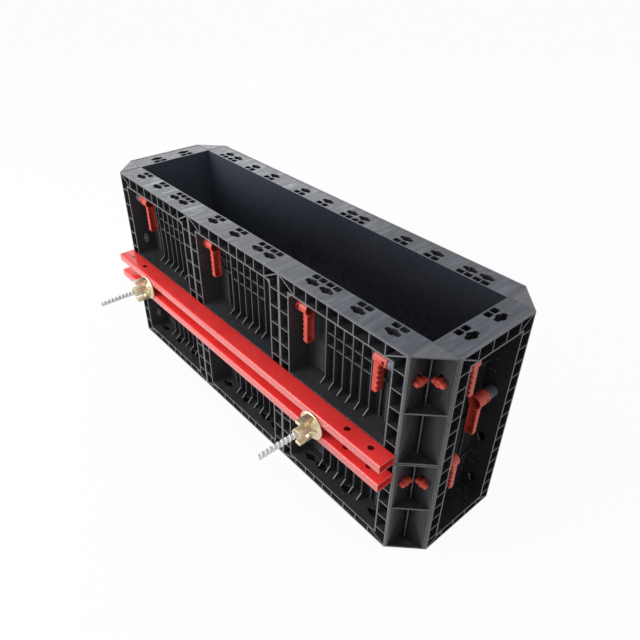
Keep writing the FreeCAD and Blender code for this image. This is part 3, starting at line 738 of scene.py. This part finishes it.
def long_panel(sizes, low=False, tie=None):
    """The long-side panel lying flat, face down: frame, upright ribs with two cross ribs and
    feet, braces, rounded recess corner, key holes and pin slots. A panel of the low row also
    has key holes in its base wall, and the outer ones a hole for a tie rod."""
    shelf, rib, rim = H - TOP, PLATE + sizes.rib_rise, T - sizes.web_step
    run = (BASE - 1, shelf + 1, PLATE)
    steps = panel_frame(W, H, LONG_WEBS, LONG_SIDES, sizes)
    steps += [(1, x - RIB_HALF, x + RIB_HALF, *run, rib) for x in RIBS]
    steps += [(1, x - LINE_HALF, x + LINE_HALF, *run, LOW_TOP) for x in LOW_RIBS]
    for y in CROSS_RIBS:
        line = (y - LINE_HALF, y + LINE_HALF, PLATE)
        steps.append((1, RIBS[0], RIBS[-1], *line, rib - 3))
        steps.append((1, SIDE - W / 2, RIBS[0], *line, CROSS_TOP))
    cut = [paw(x, H, shelf, sizes) for x in KEYS] + [side_slot(W, PIN_HIGH, sizes)]
    if low:
        keys = [lobed(x, LEVEL, sizes.key_half, sizes.key_side) for x in KEYS]
        cut += [carried(key, "y", (BASE - WALL - PAST, BASE + PAST)) for key in keys]
    if tie is not None:
        cut.append(carried(ring(tie, TIE, TIE_HOLE, 24), "z", (-PAST, PLATE + PAST)))
    parts = [worked(moulded(steps), sizes.chamfer, 1, together(cut))]
    parts.append(panel_braces(W, H, LONG_WEBS, rim))
    # Dark skirts under the key holes stand in for the shade inside them.
    parts += [key_shade_skirt(x, H, sizes) for x in KEYS]
    parts.append(hollow_fill(W / 2 - SIDE, shelf, -1, -1, sizes.recess_round, PLATE, T - 0.8))
    foot = [(BASE - 1, rib - 1), (BASE - 1, rib + 16), (BASE + 2, rib + 16), (BASE + 17, rib - 1)]
    parts += [carried(foot, "x", (x - LINE_HALF, x + LINE_HALF)) for x in RIBS]
    return together(parts)


# The same of an end panel, and the small ledges on one side of its recess.
END_WEBS = -67 + 47.3 * np.arange(4)
END_SIDES = 32 + 40.0 * np.arange(14)
END_RIBS = (-45.0, 0.0, 45.0)
END_CROSS = (150.0, 300.0, 450.0)
END_KEYS = (-49.0, 49.0)
LEDGES = (128.0, 162.0, 429.0, 465.0)


def end_panel(sizes):
    """The end panel lying flat: a tall frame round a recess with low ribs and ledges, braces, key
    holes and pin slots."""
    tall, inner = H * 2, D / 2 - SIDE
    run = (BASE - 1, tall - TOP + 1, PLATE, END_TOP)
    steps = panel_frame(D, tall, END_WEBS, END_SIDES, sizes)
    steps += [(1, x - LINE_HALF, x + LINE_HALF, *run) for x in END_RIBS]
    steps += [(1, -inner, inner, y - LINE_HALF, y + LINE_HALF, PLATE, END_TOP) for y in END_CROSS]
    steps += [(1, inner - 3, inner, y - 1, y + 1, 14, 32) for y in LEDGES]
    cut = [paw(x, tall, tall - TOP, sizes) for x in END_KEYS]
    cut += [side_slot(D, y, sizes, (-1,)) for y in (PIN_HIGH, H + PIN_HIGH)]
    cut += [side_slot(D, y, sizes, (1,)) for y in (PIN_LOW, PIN_HIGH, H + PIN_LOW)]
    parts = [worked(moulded(steps), sizes.chamfer, 1, together(cut))]
    parts.append(panel_braces(D, tall, END_WEBS, T - sizes.web_step))
    # Dark skirts under the key holes stand in for the shade inside them.
    return together(parts + [key_shade_skirt(x, tall, sizes) for x in END_KEYS])


# A corner piece stands this far above the foot of its row.
CORNER_LIFT = 1.5


def corner_piece(sizes, low_slot):
    """The open corner: two legs at right angles with slanted tips, three plates between them, a
    thin rib in the inner corner and a raised strip on one leg."""
    tall, w = H - CORNER_LIFT, WALL
    pin_low, pin_high = PIN_LOW - CORNER_LIFT, PIN_HIGH - CORNER_LIFT
    legs = [(0, 0), (T, 0), (T - w, -w), (w, -w), (w, w - T), (0, -T)]
    body = carried(legs, "z", (0, tall))
    cut = []
    half, side = sizes.slot_half, sizes.key_side
    for z in (pin_low, pin_high) if low_slot else (pin_high,):
        cut.append(carried(lobed(z, -LEVEL, half, side)[:, ::-1], "x", (-PAST, w + PAST)))
    cut.append(carried(lobed(pin_high, LEVEL, half, side)[:, ::-1], "y", (-w - PAST, PAST)))
    parts = [worked(body, sizes.chamfer, 1, together(cut))]
    plate = [(w / 2, -w / 2), (T - w / 2, -w / 2), (w / 2, w / 2 - T)]
    room = (tall - w) / 2
    for low in (0, room, room * 2):
        parts.append(worked(carried(plate, "z", (low, low + w)), sizes.chamfer))
    across, run = np.array([0.9, 0.9]), np.array([1, -1])
    rib = [run * 3 - across, run * 14 - across, run * 14 + across, run * 3 + across]
    parts.append(carried(rib, "z", (2, tall - 2)))
    strip = [(56, -w / 2), (T - 3, -w / 2), (T - 6.5, -w - 2), (56, -w - 2)]
    parts.append(worked(carried(strip, "z", (w, tall - w)), sizes.chamfer))
    return together(parts)


# A handle: the hub's radius; the grip's top, end, half width, depth and the depth of its flat part;
# the top and the pitch of its finger waves. The hub's start and tail along the pin, for the handles
# with a grey sleeve and for those without.
HUB = 17.0
GRIP_TOP, GRIP_END, GRIP_HALF, GRIP_DEPTH, GRIP_FLAT = -9.0, -95.0, 12.0, 17.0, 8.0
WAVE_TOP, WAVE_PITCH = -22.0, 14.5
LONG_HUB, SHORT_HUB = (-107.0, -68.5), (-76.0, -37.5)
# Radius that closes a turned profile at its axis.
AXIS = 0.01


def handle_red(sizes, start, tail):
    """The red part of a handle: a turned hub with a wide open eye, a hollow grip that is flat
    towards the eye and round with finger waves behind, a pin and a key bar of three lobes with a
    boss. Its pin points to +x and the grip hangs to -z."""
    bend = np.linspace(0, np.pi / 2, 5)
    curve = np.stack((1 - np.sin(bend), 1 - np.cos(bend)), -1)
    tip = np.array((start, HUB)) + curve[::-1] * (1.2, -1.2)
    end = np.array((tail, HUB)) - curve * 1.5
    hub = np.concatenate(([(start, AXIS)], tip, end, [(tail, AXIS)]))
    z = np.linspace(GRIP_TOP, GRIP_END, 87)
    wave = sizes.wave * np.abs(np.sin(np.pi * (z - WAVE_TOP) / WAVE_PITCH)) ** 0.7
    wave = np.where(z > WAVE_TOP, sizes.wave, wave)
    foot = np.clip((z - GRIP_END) / 5.0, 0, 1)
    shrink = 4.0 * (1 - np.sqrt(1 - (1 - foot) ** 2))
    turn = np.linspace(-np.pi / 2, np.pi / 2, 17)
    back = np.stack((np.maximum(np.cos(turn), 0) ** 0.2, np.sin(turn)), -1)
    profile = np.concatenate((back, [(-1.0, 1.0), (-1.0, -1.0)]))
    behind = (GRIP_DEPTH - sizes.wave + wave - shrink)[:, None] - GRIP_FLAT
    depth = GRIP_FLAT + behind * np.maximum(profile[:, 0], 0)
    rings = np.empty((len(z), len(profile), 3))
    rings[..., 0] = start + np.where(profile[:, 0] < -0.5, 0, depth)
    rings[..., 1] = (GRIP_HALF - shrink * 0.4)[:, None] * profile[:, 1]
    rings[..., 2] = z[:, None]
    eye = carried(ring(0, 0, 14.6, 40), "x", (start - 4, start + 24))
    hollow = carried(rounded(18.5, 72, 4, 3) + (0, -56), "x", (start - 4, start + 12.5))
    slot = carried(rounded(7, 12, 3.4, 4) + (tail - 9.5, 0), "y", (-30, 30))
    body = worked(turned(hub, 48) + skin(rings), 0, 1, eye + hollow + slot)
    neck = turned([(tail - 2, AXIS), (tail - 2, 8.0), (3.0, 8.0), (5.0, 9.0), (5.0, AXIS)], 28)
    bar = worked(carried(lobed(0, 0, 17.4, 8.8, 48, 0.72), "x", (4.4, 16.0)), 1.6, 3)
    boss = turned([(14, AXIS), (14, 5.2), (17.6, 4.6), (18.6, 3.4), (18.6, AXIS)], 20)
    ends = [worked(carried(ring(y, 0, 4.8, 16), "x", (14, 17.2)), 1.0, 2) for y in (-11.0, 11.0)]
    return together([body, neck, bar, boss, *ends])


def handle_sleeve(tail):
    """The grey sleeve between hub and frame, a turned ring with a groove."""
    x = np.array([tail, tail + 0.8, -52.6, -52.2, -51.2, -50.8, -38.3, -37.5, -37.5, tail])
    r = np.array([14.6, 15.2, 15.2, 14.4, 14.4, 15.2, 15.2, 14.4, 6.0, 6.0])
    return turned(np.stack((x, r), -1), 40)


# A waler: length, depth, height and wall, and the places and the radius of its pin holes.
TUBE_LENGTH, TUBE_DEPTH, TUBE_HEIGHT, TUBE_WALL = 1200.0, 50, 25, 2
PIN_HOLES, PIN_HOLE = (-550.0, -475.0, 475.0, 550.0), 8.2


def waler_tube(sizes):
    """A rectangular tube: one rounded outline inside another, carried along x, with pin holes."""
    outer = rounded(TUBE_DEPTH, TUBE_HEIGHT, sizes.tube_round, 6)
    bore = TUBE_WALL * 2
    inner = rounded(TUBE_DEPTH - bore, TUBE_HEIGHT - bore, sizes.tube_round - TUBE_WALL, 6)
    rings = np.empty((4, len(outer), 3))
    for k, (outline, way) in enumerate(((outer, -1), (outer, 1), (inner, 1), (inner, -1))):
        rings[k, :, 0] = way * TUBE_LENGTH / 2
        rings[k, :, 1:] = outline
    holes = [carried(ring(x, 0, PIN_HOLE, 32), "z", (-20, 20)) for x in PIN_HOLES]
    return worked(skin(rings, joined=True), 0, 1, together(holes))


# Radius of a rod over its thread and at its tapered tip, and the length of that taper.
CREST, TIP, TAPER = 8.0, 5.6, 4.0


def threaded_rod(sizes):
    """A rod along y with a coarse rolled thread: the radius follows a rounded trapezium of the
    distance along the rod less the turn, times the pitch; both ends taper."""
    around, pitch = 36, sizes.thread_pitch
    y = np.arange(-ROD_REACH, ROD_REACH + 0.01, pitch / 16)
    y[-1] = ROD_REACH
    angle = np.arange(around) * (2 * np.pi / around)
    phase = (y[:, None] / pitch - angle / (2 * np.pi)) % 1.0
    crest = np.clip(1.35 - np.abs(phase - 0.5) * 4.6, 0, 1)
    crest = crest * crest * (3 - 2 * crest)
    radius = sizes.thread_root + (CREST - sizes.thread_root) * crest
    end = np.clip((ROD_REACH - np.abs(y)) / TAPER, 0, 1)[:, None]
    radius = np.minimum(radius, TIP + (CREST - TIP) * end)
    along = np.broadcast_to(y[:, None], radius.shape)
    return skin(np.stack((radius * np.cos(angle), along, radius * np.sin(angle)), -1))


# A wing nut: the flange's profile (height, radius), a prong's and a gusset's outline (out, height).
# The flange stands a hair off the walers.
DISH = ((0.2, 9.0), (0.2, 36.8), (1.2, 38.0), (3.6, 38.0), (5.0, 36.4), (7.0, 29.0), (9.5, 20.0))
DISH += ((14.0, 14.5), (14.5, 9.0))
PRONG = ((11, 2), (34, 2), (36.5, 9), (36.5, 45), (28, 45), (26, 20), (20, 15), (11, 17))
GUSSET = ((12, 3), (33, 3), (12, 26))
QUARTER = np.array(Matrix.Rotation(math.pi / 2, 4, "Z"))


def wing_nut():
    """A cast nut about z: a dished flange, a hexagonal barrel, two prongs that stand clear of the
    barrel on low webs, and two slim gussets across them."""
    bore = carried(ring(0, 0, 9, 24), "z", (-5, 60))
    barrel = carried(ring(0, 0, 15.2, 6, math.pi / 6), "z", (2, 50))
    parts = [turned(DISH, 64, "z"), worked(barrel, 1.2, 2, bore)]
    for way in (1, -1):
        prong, gusset = (np.array(outline) * (way, 1) for outline in (PRONG, GUSSET))
        parts.append(worked(carried(prong, "y", (-8.5, 8.5)), 1.6, 3))
        parts.append(worked(carried(gusset, "y", (-2.4, 2.4)).moved(QUARTER), 0.8, 2))
    return together(parts)


def key_plug():
    """A grey plug: a three-lobed head with a rounded edge and a raised three-lobed middle."""
    head = worked(carried(lobed(0, 0, 17, 9.6, 48, 0.75)[:, ::-1], "x", (0, 7)), 1.6, 3)
    middle = worked(carried(lobed(0, 0, 12, 5.5, 40, 0.8)[:, ::-1], "x", (5, 11)), 1.2, 2)
    return head + middle


def millimetres(name, words, default, low, high):
    """A size that a user may change."""
    return FloatProperty(name=name, description=words + ", mm", default=default, min=low, max=high)


def tint(name, words, default):
    """A colour that a user may change."""
    return FloatVectorProperty(
        name=name, description=words, subtype="COLOR", size=3, default=default, min=0, max=1
    )


def watts(name, words, default):
    """A lamp's power that a user may change."""
    return FloatProperty(
        name=name, description=words + ", W", default=default, min=0, max=500, unit="POWER"
    )


def direction(name, words, default):
    """A direction of the picture's frame."""
    return FloatVectorProperty(
        name=name, description=words, size=3, subtype="DIRECTION", default=default
    )


class FormSizes(bpy.types.PropertyGroup):
    """Sizes of the visible detail, in millimetres."""

    chamfer: millimetres("Edge chamfer", "Chamfer on moulded edges", 0.7, 0.1, 1.2)
    web_step: millimetres("Web step", "Webs below the outer rim", 0.6, 0.1, 3)
    lip_rise: millimetres("Lip rise", "Rise of the strip along the top edge", 0.8, 0.1, 2)
    lip_width: millimetres("Lip width", "Width of that strip", 6.0, 3, 20)
    rib_rise: millimetres("Rib rise", "Ribs above the face plate", 23.0, 8, 50)
    recess_round: millimetres("Recess corner", "Radius in a recess's corner", 16.0, 4, 30)
    key_half: millimetres("Key half length", "Half length of a key hole", 20.5, 12, 22)
    key_side: millimetres("Key half width", "Half width of a key hole", 11.9, 8, 14)
    slot_half: millimetres("Slot half length", "Half length of a pin slot", 18.2, 14, 24)
    wave: millimetres("Finger wave", "Depth of the finger waves on a grip", 6.5, 0, 8)
    tube_round: millimetres("Tube corner", "Outside corner radius of a tube", 4.0, 2.5, 8)
    thread_pitch: millimetres("Thread pitch", "Pitch of the rod's thread", 11.5, 4, 16)
    thread_root: millimetres("Thread root", "Root radius of the thread", 6.6, 5, 7.8)


class FormLook(bpy.types.PropertyGroup):
    """Colours and finish of the form."""

    plastic: tint("Black plastic", "Main colour of the panels", (0.0310, 0.0318, 0.0360))
    plastic_pale: tint("Pale plastic", "Clouds in the panels' colour", (0.0440, 0.0448, 0.0490))
    # The two tints below are the painted sheen on the top flanges and its lighter streaks.
    top_sheen: tint("Top film", "Dusty film on the top flanges", (0.066, 0.075, 0.097))
    streak: tint("Streaks", "Pale streaks in that film", (0.32, 0.36, 0.44))
    # The rims' tint: worn edges and painted highlights.
    rim: tint("Rims", "Rubbed edges of walls, webs and ribs", (0.138, 0.141, 0.150))
    handle: tint("Handle", "Red plastic of the handles", (0.44, 0.042, 0.028))
    handle_pale: tint("Rubbed handle", "Paler patches on the handles", (0.51, 0.063, 0.042))
    paint: tint("Waler paint", "Red paint of the tubes", (0.88, 0.052, 0.047))
    paint_deep: tint("Deep paint", "Deeper patches in the paint", (0.80, 0.038, 0.035))
    steel: tint("Rod", "Plated steel of the rods", (0.80, 0.81, 0.83))
    zinc: tint("Zinc", "Yellow plating of the nuts", (0.72, 0.64, 0.46))
    zinc_deep: tint("Deep zinc", "Deeper patches of the plating", (0.58, 0.49, 0.31))
    grey: tint("Grey plastic", "Plugs and sleeves", (0.090, 0.094, 0.106))
    gloss: FloatProperty(
        name="Plastic roughness", description="Roughness of the black plastic", default=0.30, min=0.1, max=0.8
    )
    dust: FloatProperty(
        name="Dust", description="Dust on level faces", default=0.35, min=0, max=1, subtype="FACTOR"
    )


class FormStage(bpy.types.PropertyGroup):
    """Camera, floor and light."""

    camera_at: FloatVectorProperty(
        name="Camera",
        description="Place of the camera",
        size=3,
        subtype="TRANSLATION",
        unit="LENGTH",
        default=(1.14574, -0.91069, 1.30048),
    )
    right: direction("Right", "Direction of the picture's right side", (0.658538, 0.752390, 0.015411))
    down: direction("Down", "Direction of the picture's lower side", (0.441013, -0.369246, -0.818025))
    lens: millimetres("Lens", "Focal length on a 36 mm frame", 33.543, 10, 200)
    sky: FloatProperty(
        name="Sky", description="Strength of the light from all round", default=0.75, min=0, max=3
    )
    key: watts("Front lamp", "Power of the soft lamp in front", 140.0)
    sheen: watts("Back lamp", "Power of the soft lamp behind", 22.0)


class FORM_OT_panels(bpy.types.Operator):
    """Builds the twelve long-side panels and the two end panels"""

    bl_idname = "form.panels"
    bl_label = "Panels"

    def execute(self, context):
        sizes = context.scene.form_sizes
        plain, low = long_panel(sizes), long_panel(sizes, True)
        tied = {way: long_panel(sizes, True, TIE_SHIFT * way) for way in (-1, 1)}
        for side, way, spin in (("front", -1, 0), ("rear", 1, 180)):
            for place, x, mirror in (("left", -W, False), ("middle", 0, way > 0), ("right", W, True)):
                for row, foot in ROWS:
                    shape = plain if row == "upper" else low
                    if row == "lower" and place != "middle":
                        shape = tied[-way if mirror else way]
                    name = f"panel_{side}_{place}_{row}"
                    matrix = at(x, D / 2 * way, foot, spin, True, mirror)
                    put("look_" + name, shape, matrix, "black_plastic", node=name)
        shape = end_panel(sizes)
        for side, way in (("right", 1), ("left", -1)):
            name = f"panel_end_{side}"
            matrix = at(EDGE * way, 0, 0, 90 * way, True)
            put("look_" + name, shape, matrix, "black_plastic", node=name)
        return {"FINISHED"}


class FORM_OT_corners(bpy.types.Operator):
    """Builds the eight open corner pieces"""

    bl_idname = "form.corners"
    bl_label = "Corner pieces"

    def execute(self, context):
        sizes = context.scene.form_sizes
        plain, low = corner_piece(sizes, False), corner_piece(sizes, True)
        places = (
            ("front_right", EDGE, -D / 2, 0),
            ("rear_right", EDGE, D / 2, 90),
            ("rear_left", -EDGE, D / 2, 180),
            ("front_left", -EDGE, -D / 2, 270),
        )
        for place, x, y, spin in places:
            for row, foot in ROWS:
                name = f"corner_{place}_{row}"
                shape = low if place in ("rear_right", "front_left") else plain
                matrix = at(x, y, foot + CORNER_LIFT, spin)
                put("look_" + name, shape, matrix, "black_plastic", node=name)
        return {"FINISHED"}


class FORM_OT_handles(bpy.types.Operator):
    """Builds the twenty-two locking handles, fourteen of them with a grey sleeve"""

    bl_idname = "form.handles"
    bl_label = "Handles"

    def execute(self, context):
        sizes = context.scene.form_sizes
        long_hub, short_hub = handle_red(sizes, *LONG_HUB), handle_red(sizes, *SHORT_HUB)
        sleeve = handle_sleeve(LONG_HUB[1])
        joints = ((1, -1.5, 180), (2, -0.5, 180), (3, 0.5, 180), (4, 1.5, 0))
        places = []
        for side, turn, out in (("front", 0, -1), ("rear", 180, 1)):
            y = (D / 2 + LEVEL) * out
            for row, foot in ROWS:
                for number, joint, spin in joints:
                    name = f"handle_{side}_{number}_{row}"
                    places.append((name, W * joint * -out, y, foot + PIN_HIGH, turn + spin))
        for side, turn, out in (("right", 90, 1), ("left", -90, -1)):
            x, near, far = (EDGE + LEVEL) * out, -D / 2 * out, D / 2 * out
            places.append((f"handle_end_{side}_1", x, near, PIN_HIGH, turn + 180))
            places.append((f"handle_end_{side}_2", x, near, H + PIN_HIGH, turn + 180))
            places.append((f"handle_end_{side}_3", x, far, H + PIN_LOW, turn))
        inner = tuple(f"handle_{side}_{number}" for side in ("front", "rear") for number in (2, 3))
        for name, x, y, z, spin in places:
            short = name.startswith(inner)
            matrix = at(x, y, z, spin)
            shape = short_hub if short else long_hub
            put("look_" + name, shape, matrix, "red_plastic", name, name, 35)
            if not short:
                put("look_" + name + "_sleeve", sleeve, matrix, "grey_plastic", name, None, 35)
        return {"FINISHED"}


class FORM_OT_walers(bpy.types.Operator):
    """Builds the four waler tubes"""

    bl_idname = "form.walers"
    bl_label = "Walers"

    def execute(self, context):
        shape = waler_tube(context.scene.form_sizes)
        for side in ("front", "rear"):
            for row in ("lower", "upper"):
                name = f"waler_{side}_{row}"
                matrix = at(0, centre(name, 1), centre(name, 2))
                put("look_" + name, shape, matrix, "red_paint", node=name, smooth=30)
        return {"FINISHED"}


class FORM_OT_ties(bpy.types.Operator):
    """Builds the two tie rods and the four wing nuts"""

    bl_idname = "form.ties"
    bl_label = "Tie rods and nuts"

    def execute(self, context):
        rod, nut = threaded_rod(context.scene.form_sizes), wing_nut()
        for side, x in ROD_AT.items():
            name = f"tie_rod_{side}"
            put("look_" + name, rod, at(x, 0, TIE), "rod_steel", node=name, smooth=50)
            for face, y, spin in (("front", -BEARING, 0), ("rear", BEARING, 180)):
                name = f"wing_nut_{face}_{side}"
                matrix = at(x, y, TIE, spin, True) @ QUARTER
                put("look_" + name, nut, matrix, "zinc_yellow", name, name, 40)
        return {"FINISHED"}


class FORM_OT_plugs(bpy.types.Operator):
    """Builds the grey plugs in the unused slots"""

    bl_idname = "form.plugs"
    bl_label = "Plugs"

    def execute(self, context):
        shape = key_plug()
        for row, foot in ROWS:
            name = f"lock_plug_{row}"
            matrix = at(-EDGE + SIDE, -D / 2 - LEVEL, foot + PIN_LOW)
            put("look_" + name, shape, matrix, "grey_plastic", node=name, smooth=35)
        return {"FINISHED"}


class FORM_OT_stage(bpy.types.Operator):
    """Sets up the floor, the light and the camera"""

    bl_idname = "form.stage"
    bl_label = "Stage"

    def execute(self, context):
        scene, stage = context.scene, context.scene.form_stage
        scene.view_settings.view_transform = "Standard"
        reach = 30000
        slab = box(-reach, reach, -reach, reach, -20, 0)
        floor = bpy.data.objects.new("floor", slab.mesh("floor", 0.001))
        scene.collection.objects.link(floor)
        f = Finish("floor_white")
        rays = f.node("ShaderNodeLightPath").socket.node.outputs
        seen = Tone(f, rays["Is Camera Ray"]).larger(Tone(f, rays["Is Glossy Ray"]))
        seen = seen.larger(Tone(f, rays["Is Transmission Ray"]))
        white = f.node("ShaderNodeEmission", None, {"Color": (1, 1, 1, 1), "Strength": 1.0})
        plain = f.node("ShaderNodeBsdfDiffuse", None, {"Color": (0.8, 0.8, 0.8, 1)})
        f.node_output(f.node("ShaderNodeMixShader", None, {0: seen * 0.94, 1: plain, 2: white}))
        floor.data.materials.append(f.material)
        self.light(scene, stage)
        camera = bpy.data.cameras.new("camera")
        camera.lens, camera.sensor_width, camera.clip_end = stage.lens, 36.0, 200.0
        eye = bpy.data.objects.new("camera", camera)
        right, down = np.array(stage.right), np.array(stage.down)
        ahead = np.cross(right, down)
        turn = Matrix(np.stack((right, -down, -ahead), -1).tolist()).to_4x4()
        eye.matrix_world = Matrix.Translation(stage.camera_at) @ turn
        scene.collection.objects.link(eye)
        scene.camera = eye
        return {"FINISHED"}

    def light(self, scene, stage):
        """An even sky that is white where the camera sees it, and two large soft lamps."""
        world = bpy.data.worlds.new("sky")
        world.use_nodes = True
        scene.world = world
        tree = world.node_tree
        back = next(n for n in tree.nodes if n.type == "BACKGROUND")
        back.inputs["Color"].default_value = (1, 1, 1, 1)
        back.inputs["Strength"].default_value = stage.sky
        seen = tree.nodes.new("ShaderNodeBackground")
        rays = tree.nodes.new("ShaderNodeLightPath")
        blend = tree.nodes.new("ShaderNodeMixShader")
        out = next(n for n in tree.nodes if n.type == "OUTPUT_WORLD")
        sight = rays.outputs["Is Camera Ray"]
        for kind in ("Is Glossy Ray", "Is Transmission Ray"):
            larger = tree.nodes.new("ShaderNodeMath")
            larger.operation = "MAXIMUM"
            tree.links.new(sight, larger.inputs[0])
            tree.links.new(rays.outputs[kind], larger.inputs[1])
            sight = larger.outputs[0]
        tree.links.new(sight, blend.inputs[0])
        tree.links.new(back.outputs[0], blend.inputs[1])
        tree.links.new(seen.outputs[0], blend.inputs[2])
        seen.inputs["Color"].default_value = (1, 1, 1, 1)
        tree.links.new(blend.outputs[0], out.inputs["Surface"])
        self.lamp(scene, "front_lamp", (-1.5, -3.3, 1.4), 2.6, stage.key)
        self.lamp(scene, "back_lamp", (-3.6, 2.3, 1.9), 2.8, stage.sheen)

    def lamp(self, scene, name, place, size, power):
        """A large soft lamp that faces the middle of the form."""
        light = bpy.data.lights.new(name, "AREA")
        light.shape, light.size, light.energy = "DISK", size, power
        soft = bpy.data.objects.new(name, light)
        ahead = Vector((0, 0, H / 1000)) - Vector(place)
        turn = ahead.to_track_quat("-Z", "Y").to_matrix().to_4x4()
        soft.matrix_world = Matrix.Translation(place) @ turn
        scene.collection.objects.link(soft)


OPERATORS = (
    FORM_OT_panels,
    FORM_OT_corners,
    FORM_OT_handles,
    FORM_OT_walers,
    FORM_OT_ties,
    FORM_OT_plugs,
    FORM_OT_stage,
)


class FORM_PT_sidebar(bpy.types.Panel):
    """The form's operators in the sidebar"""

    bl_idname = "FORM_PT_sidebar"
    bl_label = "Column form"
    bl_space_type = "VIEW_3D"
    bl_region_type = "UI"
    bl_category = "Column form"

    def draw(self, context):
        for group in ("form_sizes", "form_look", "form_stage"):
            settings = getattr(context.scene, group)
            for key in settings.__annotations__:
                self.layout.prop(settings, key)
        for operator in OPERATORS:
            self.layout.operator(operator.bl_idname)


CLASSES = (FormSizes, FormLook, FormStage, *OPERATORS, FORM_PT_sidebar)


def register():
    for item in CLASSES:
        bpy.utils.register_class(item)
    bpy.types.Scene.form_sizes = PointerProperty(type=FormSizes)
    bpy.types.Scene.form_look = PointerProperty(type=FormLook)
    bpy.types.Scene.form_stage = PointerProperty(type=FormStage)


def unregister():
    for group in ("form_sizes", "form_look", "form_stage"):
        delattr(bpy.types.Scene, group)
    for item in reversed(CLASSES):
        bpy.utils.unregister_class(item)


def main():
    """Builds all pieces and the stage."""
    register()
    bpy.ops.form.panels()
    bpy.ops.form.corners()
    bpy.ops.form.handles()
    bpy.ops.form.walers()
    bpy.ops.form.ties()
    bpy.ops.form.plugs()
    bpy.ops.form.stage()


if __name__ == "__main__":
    main()
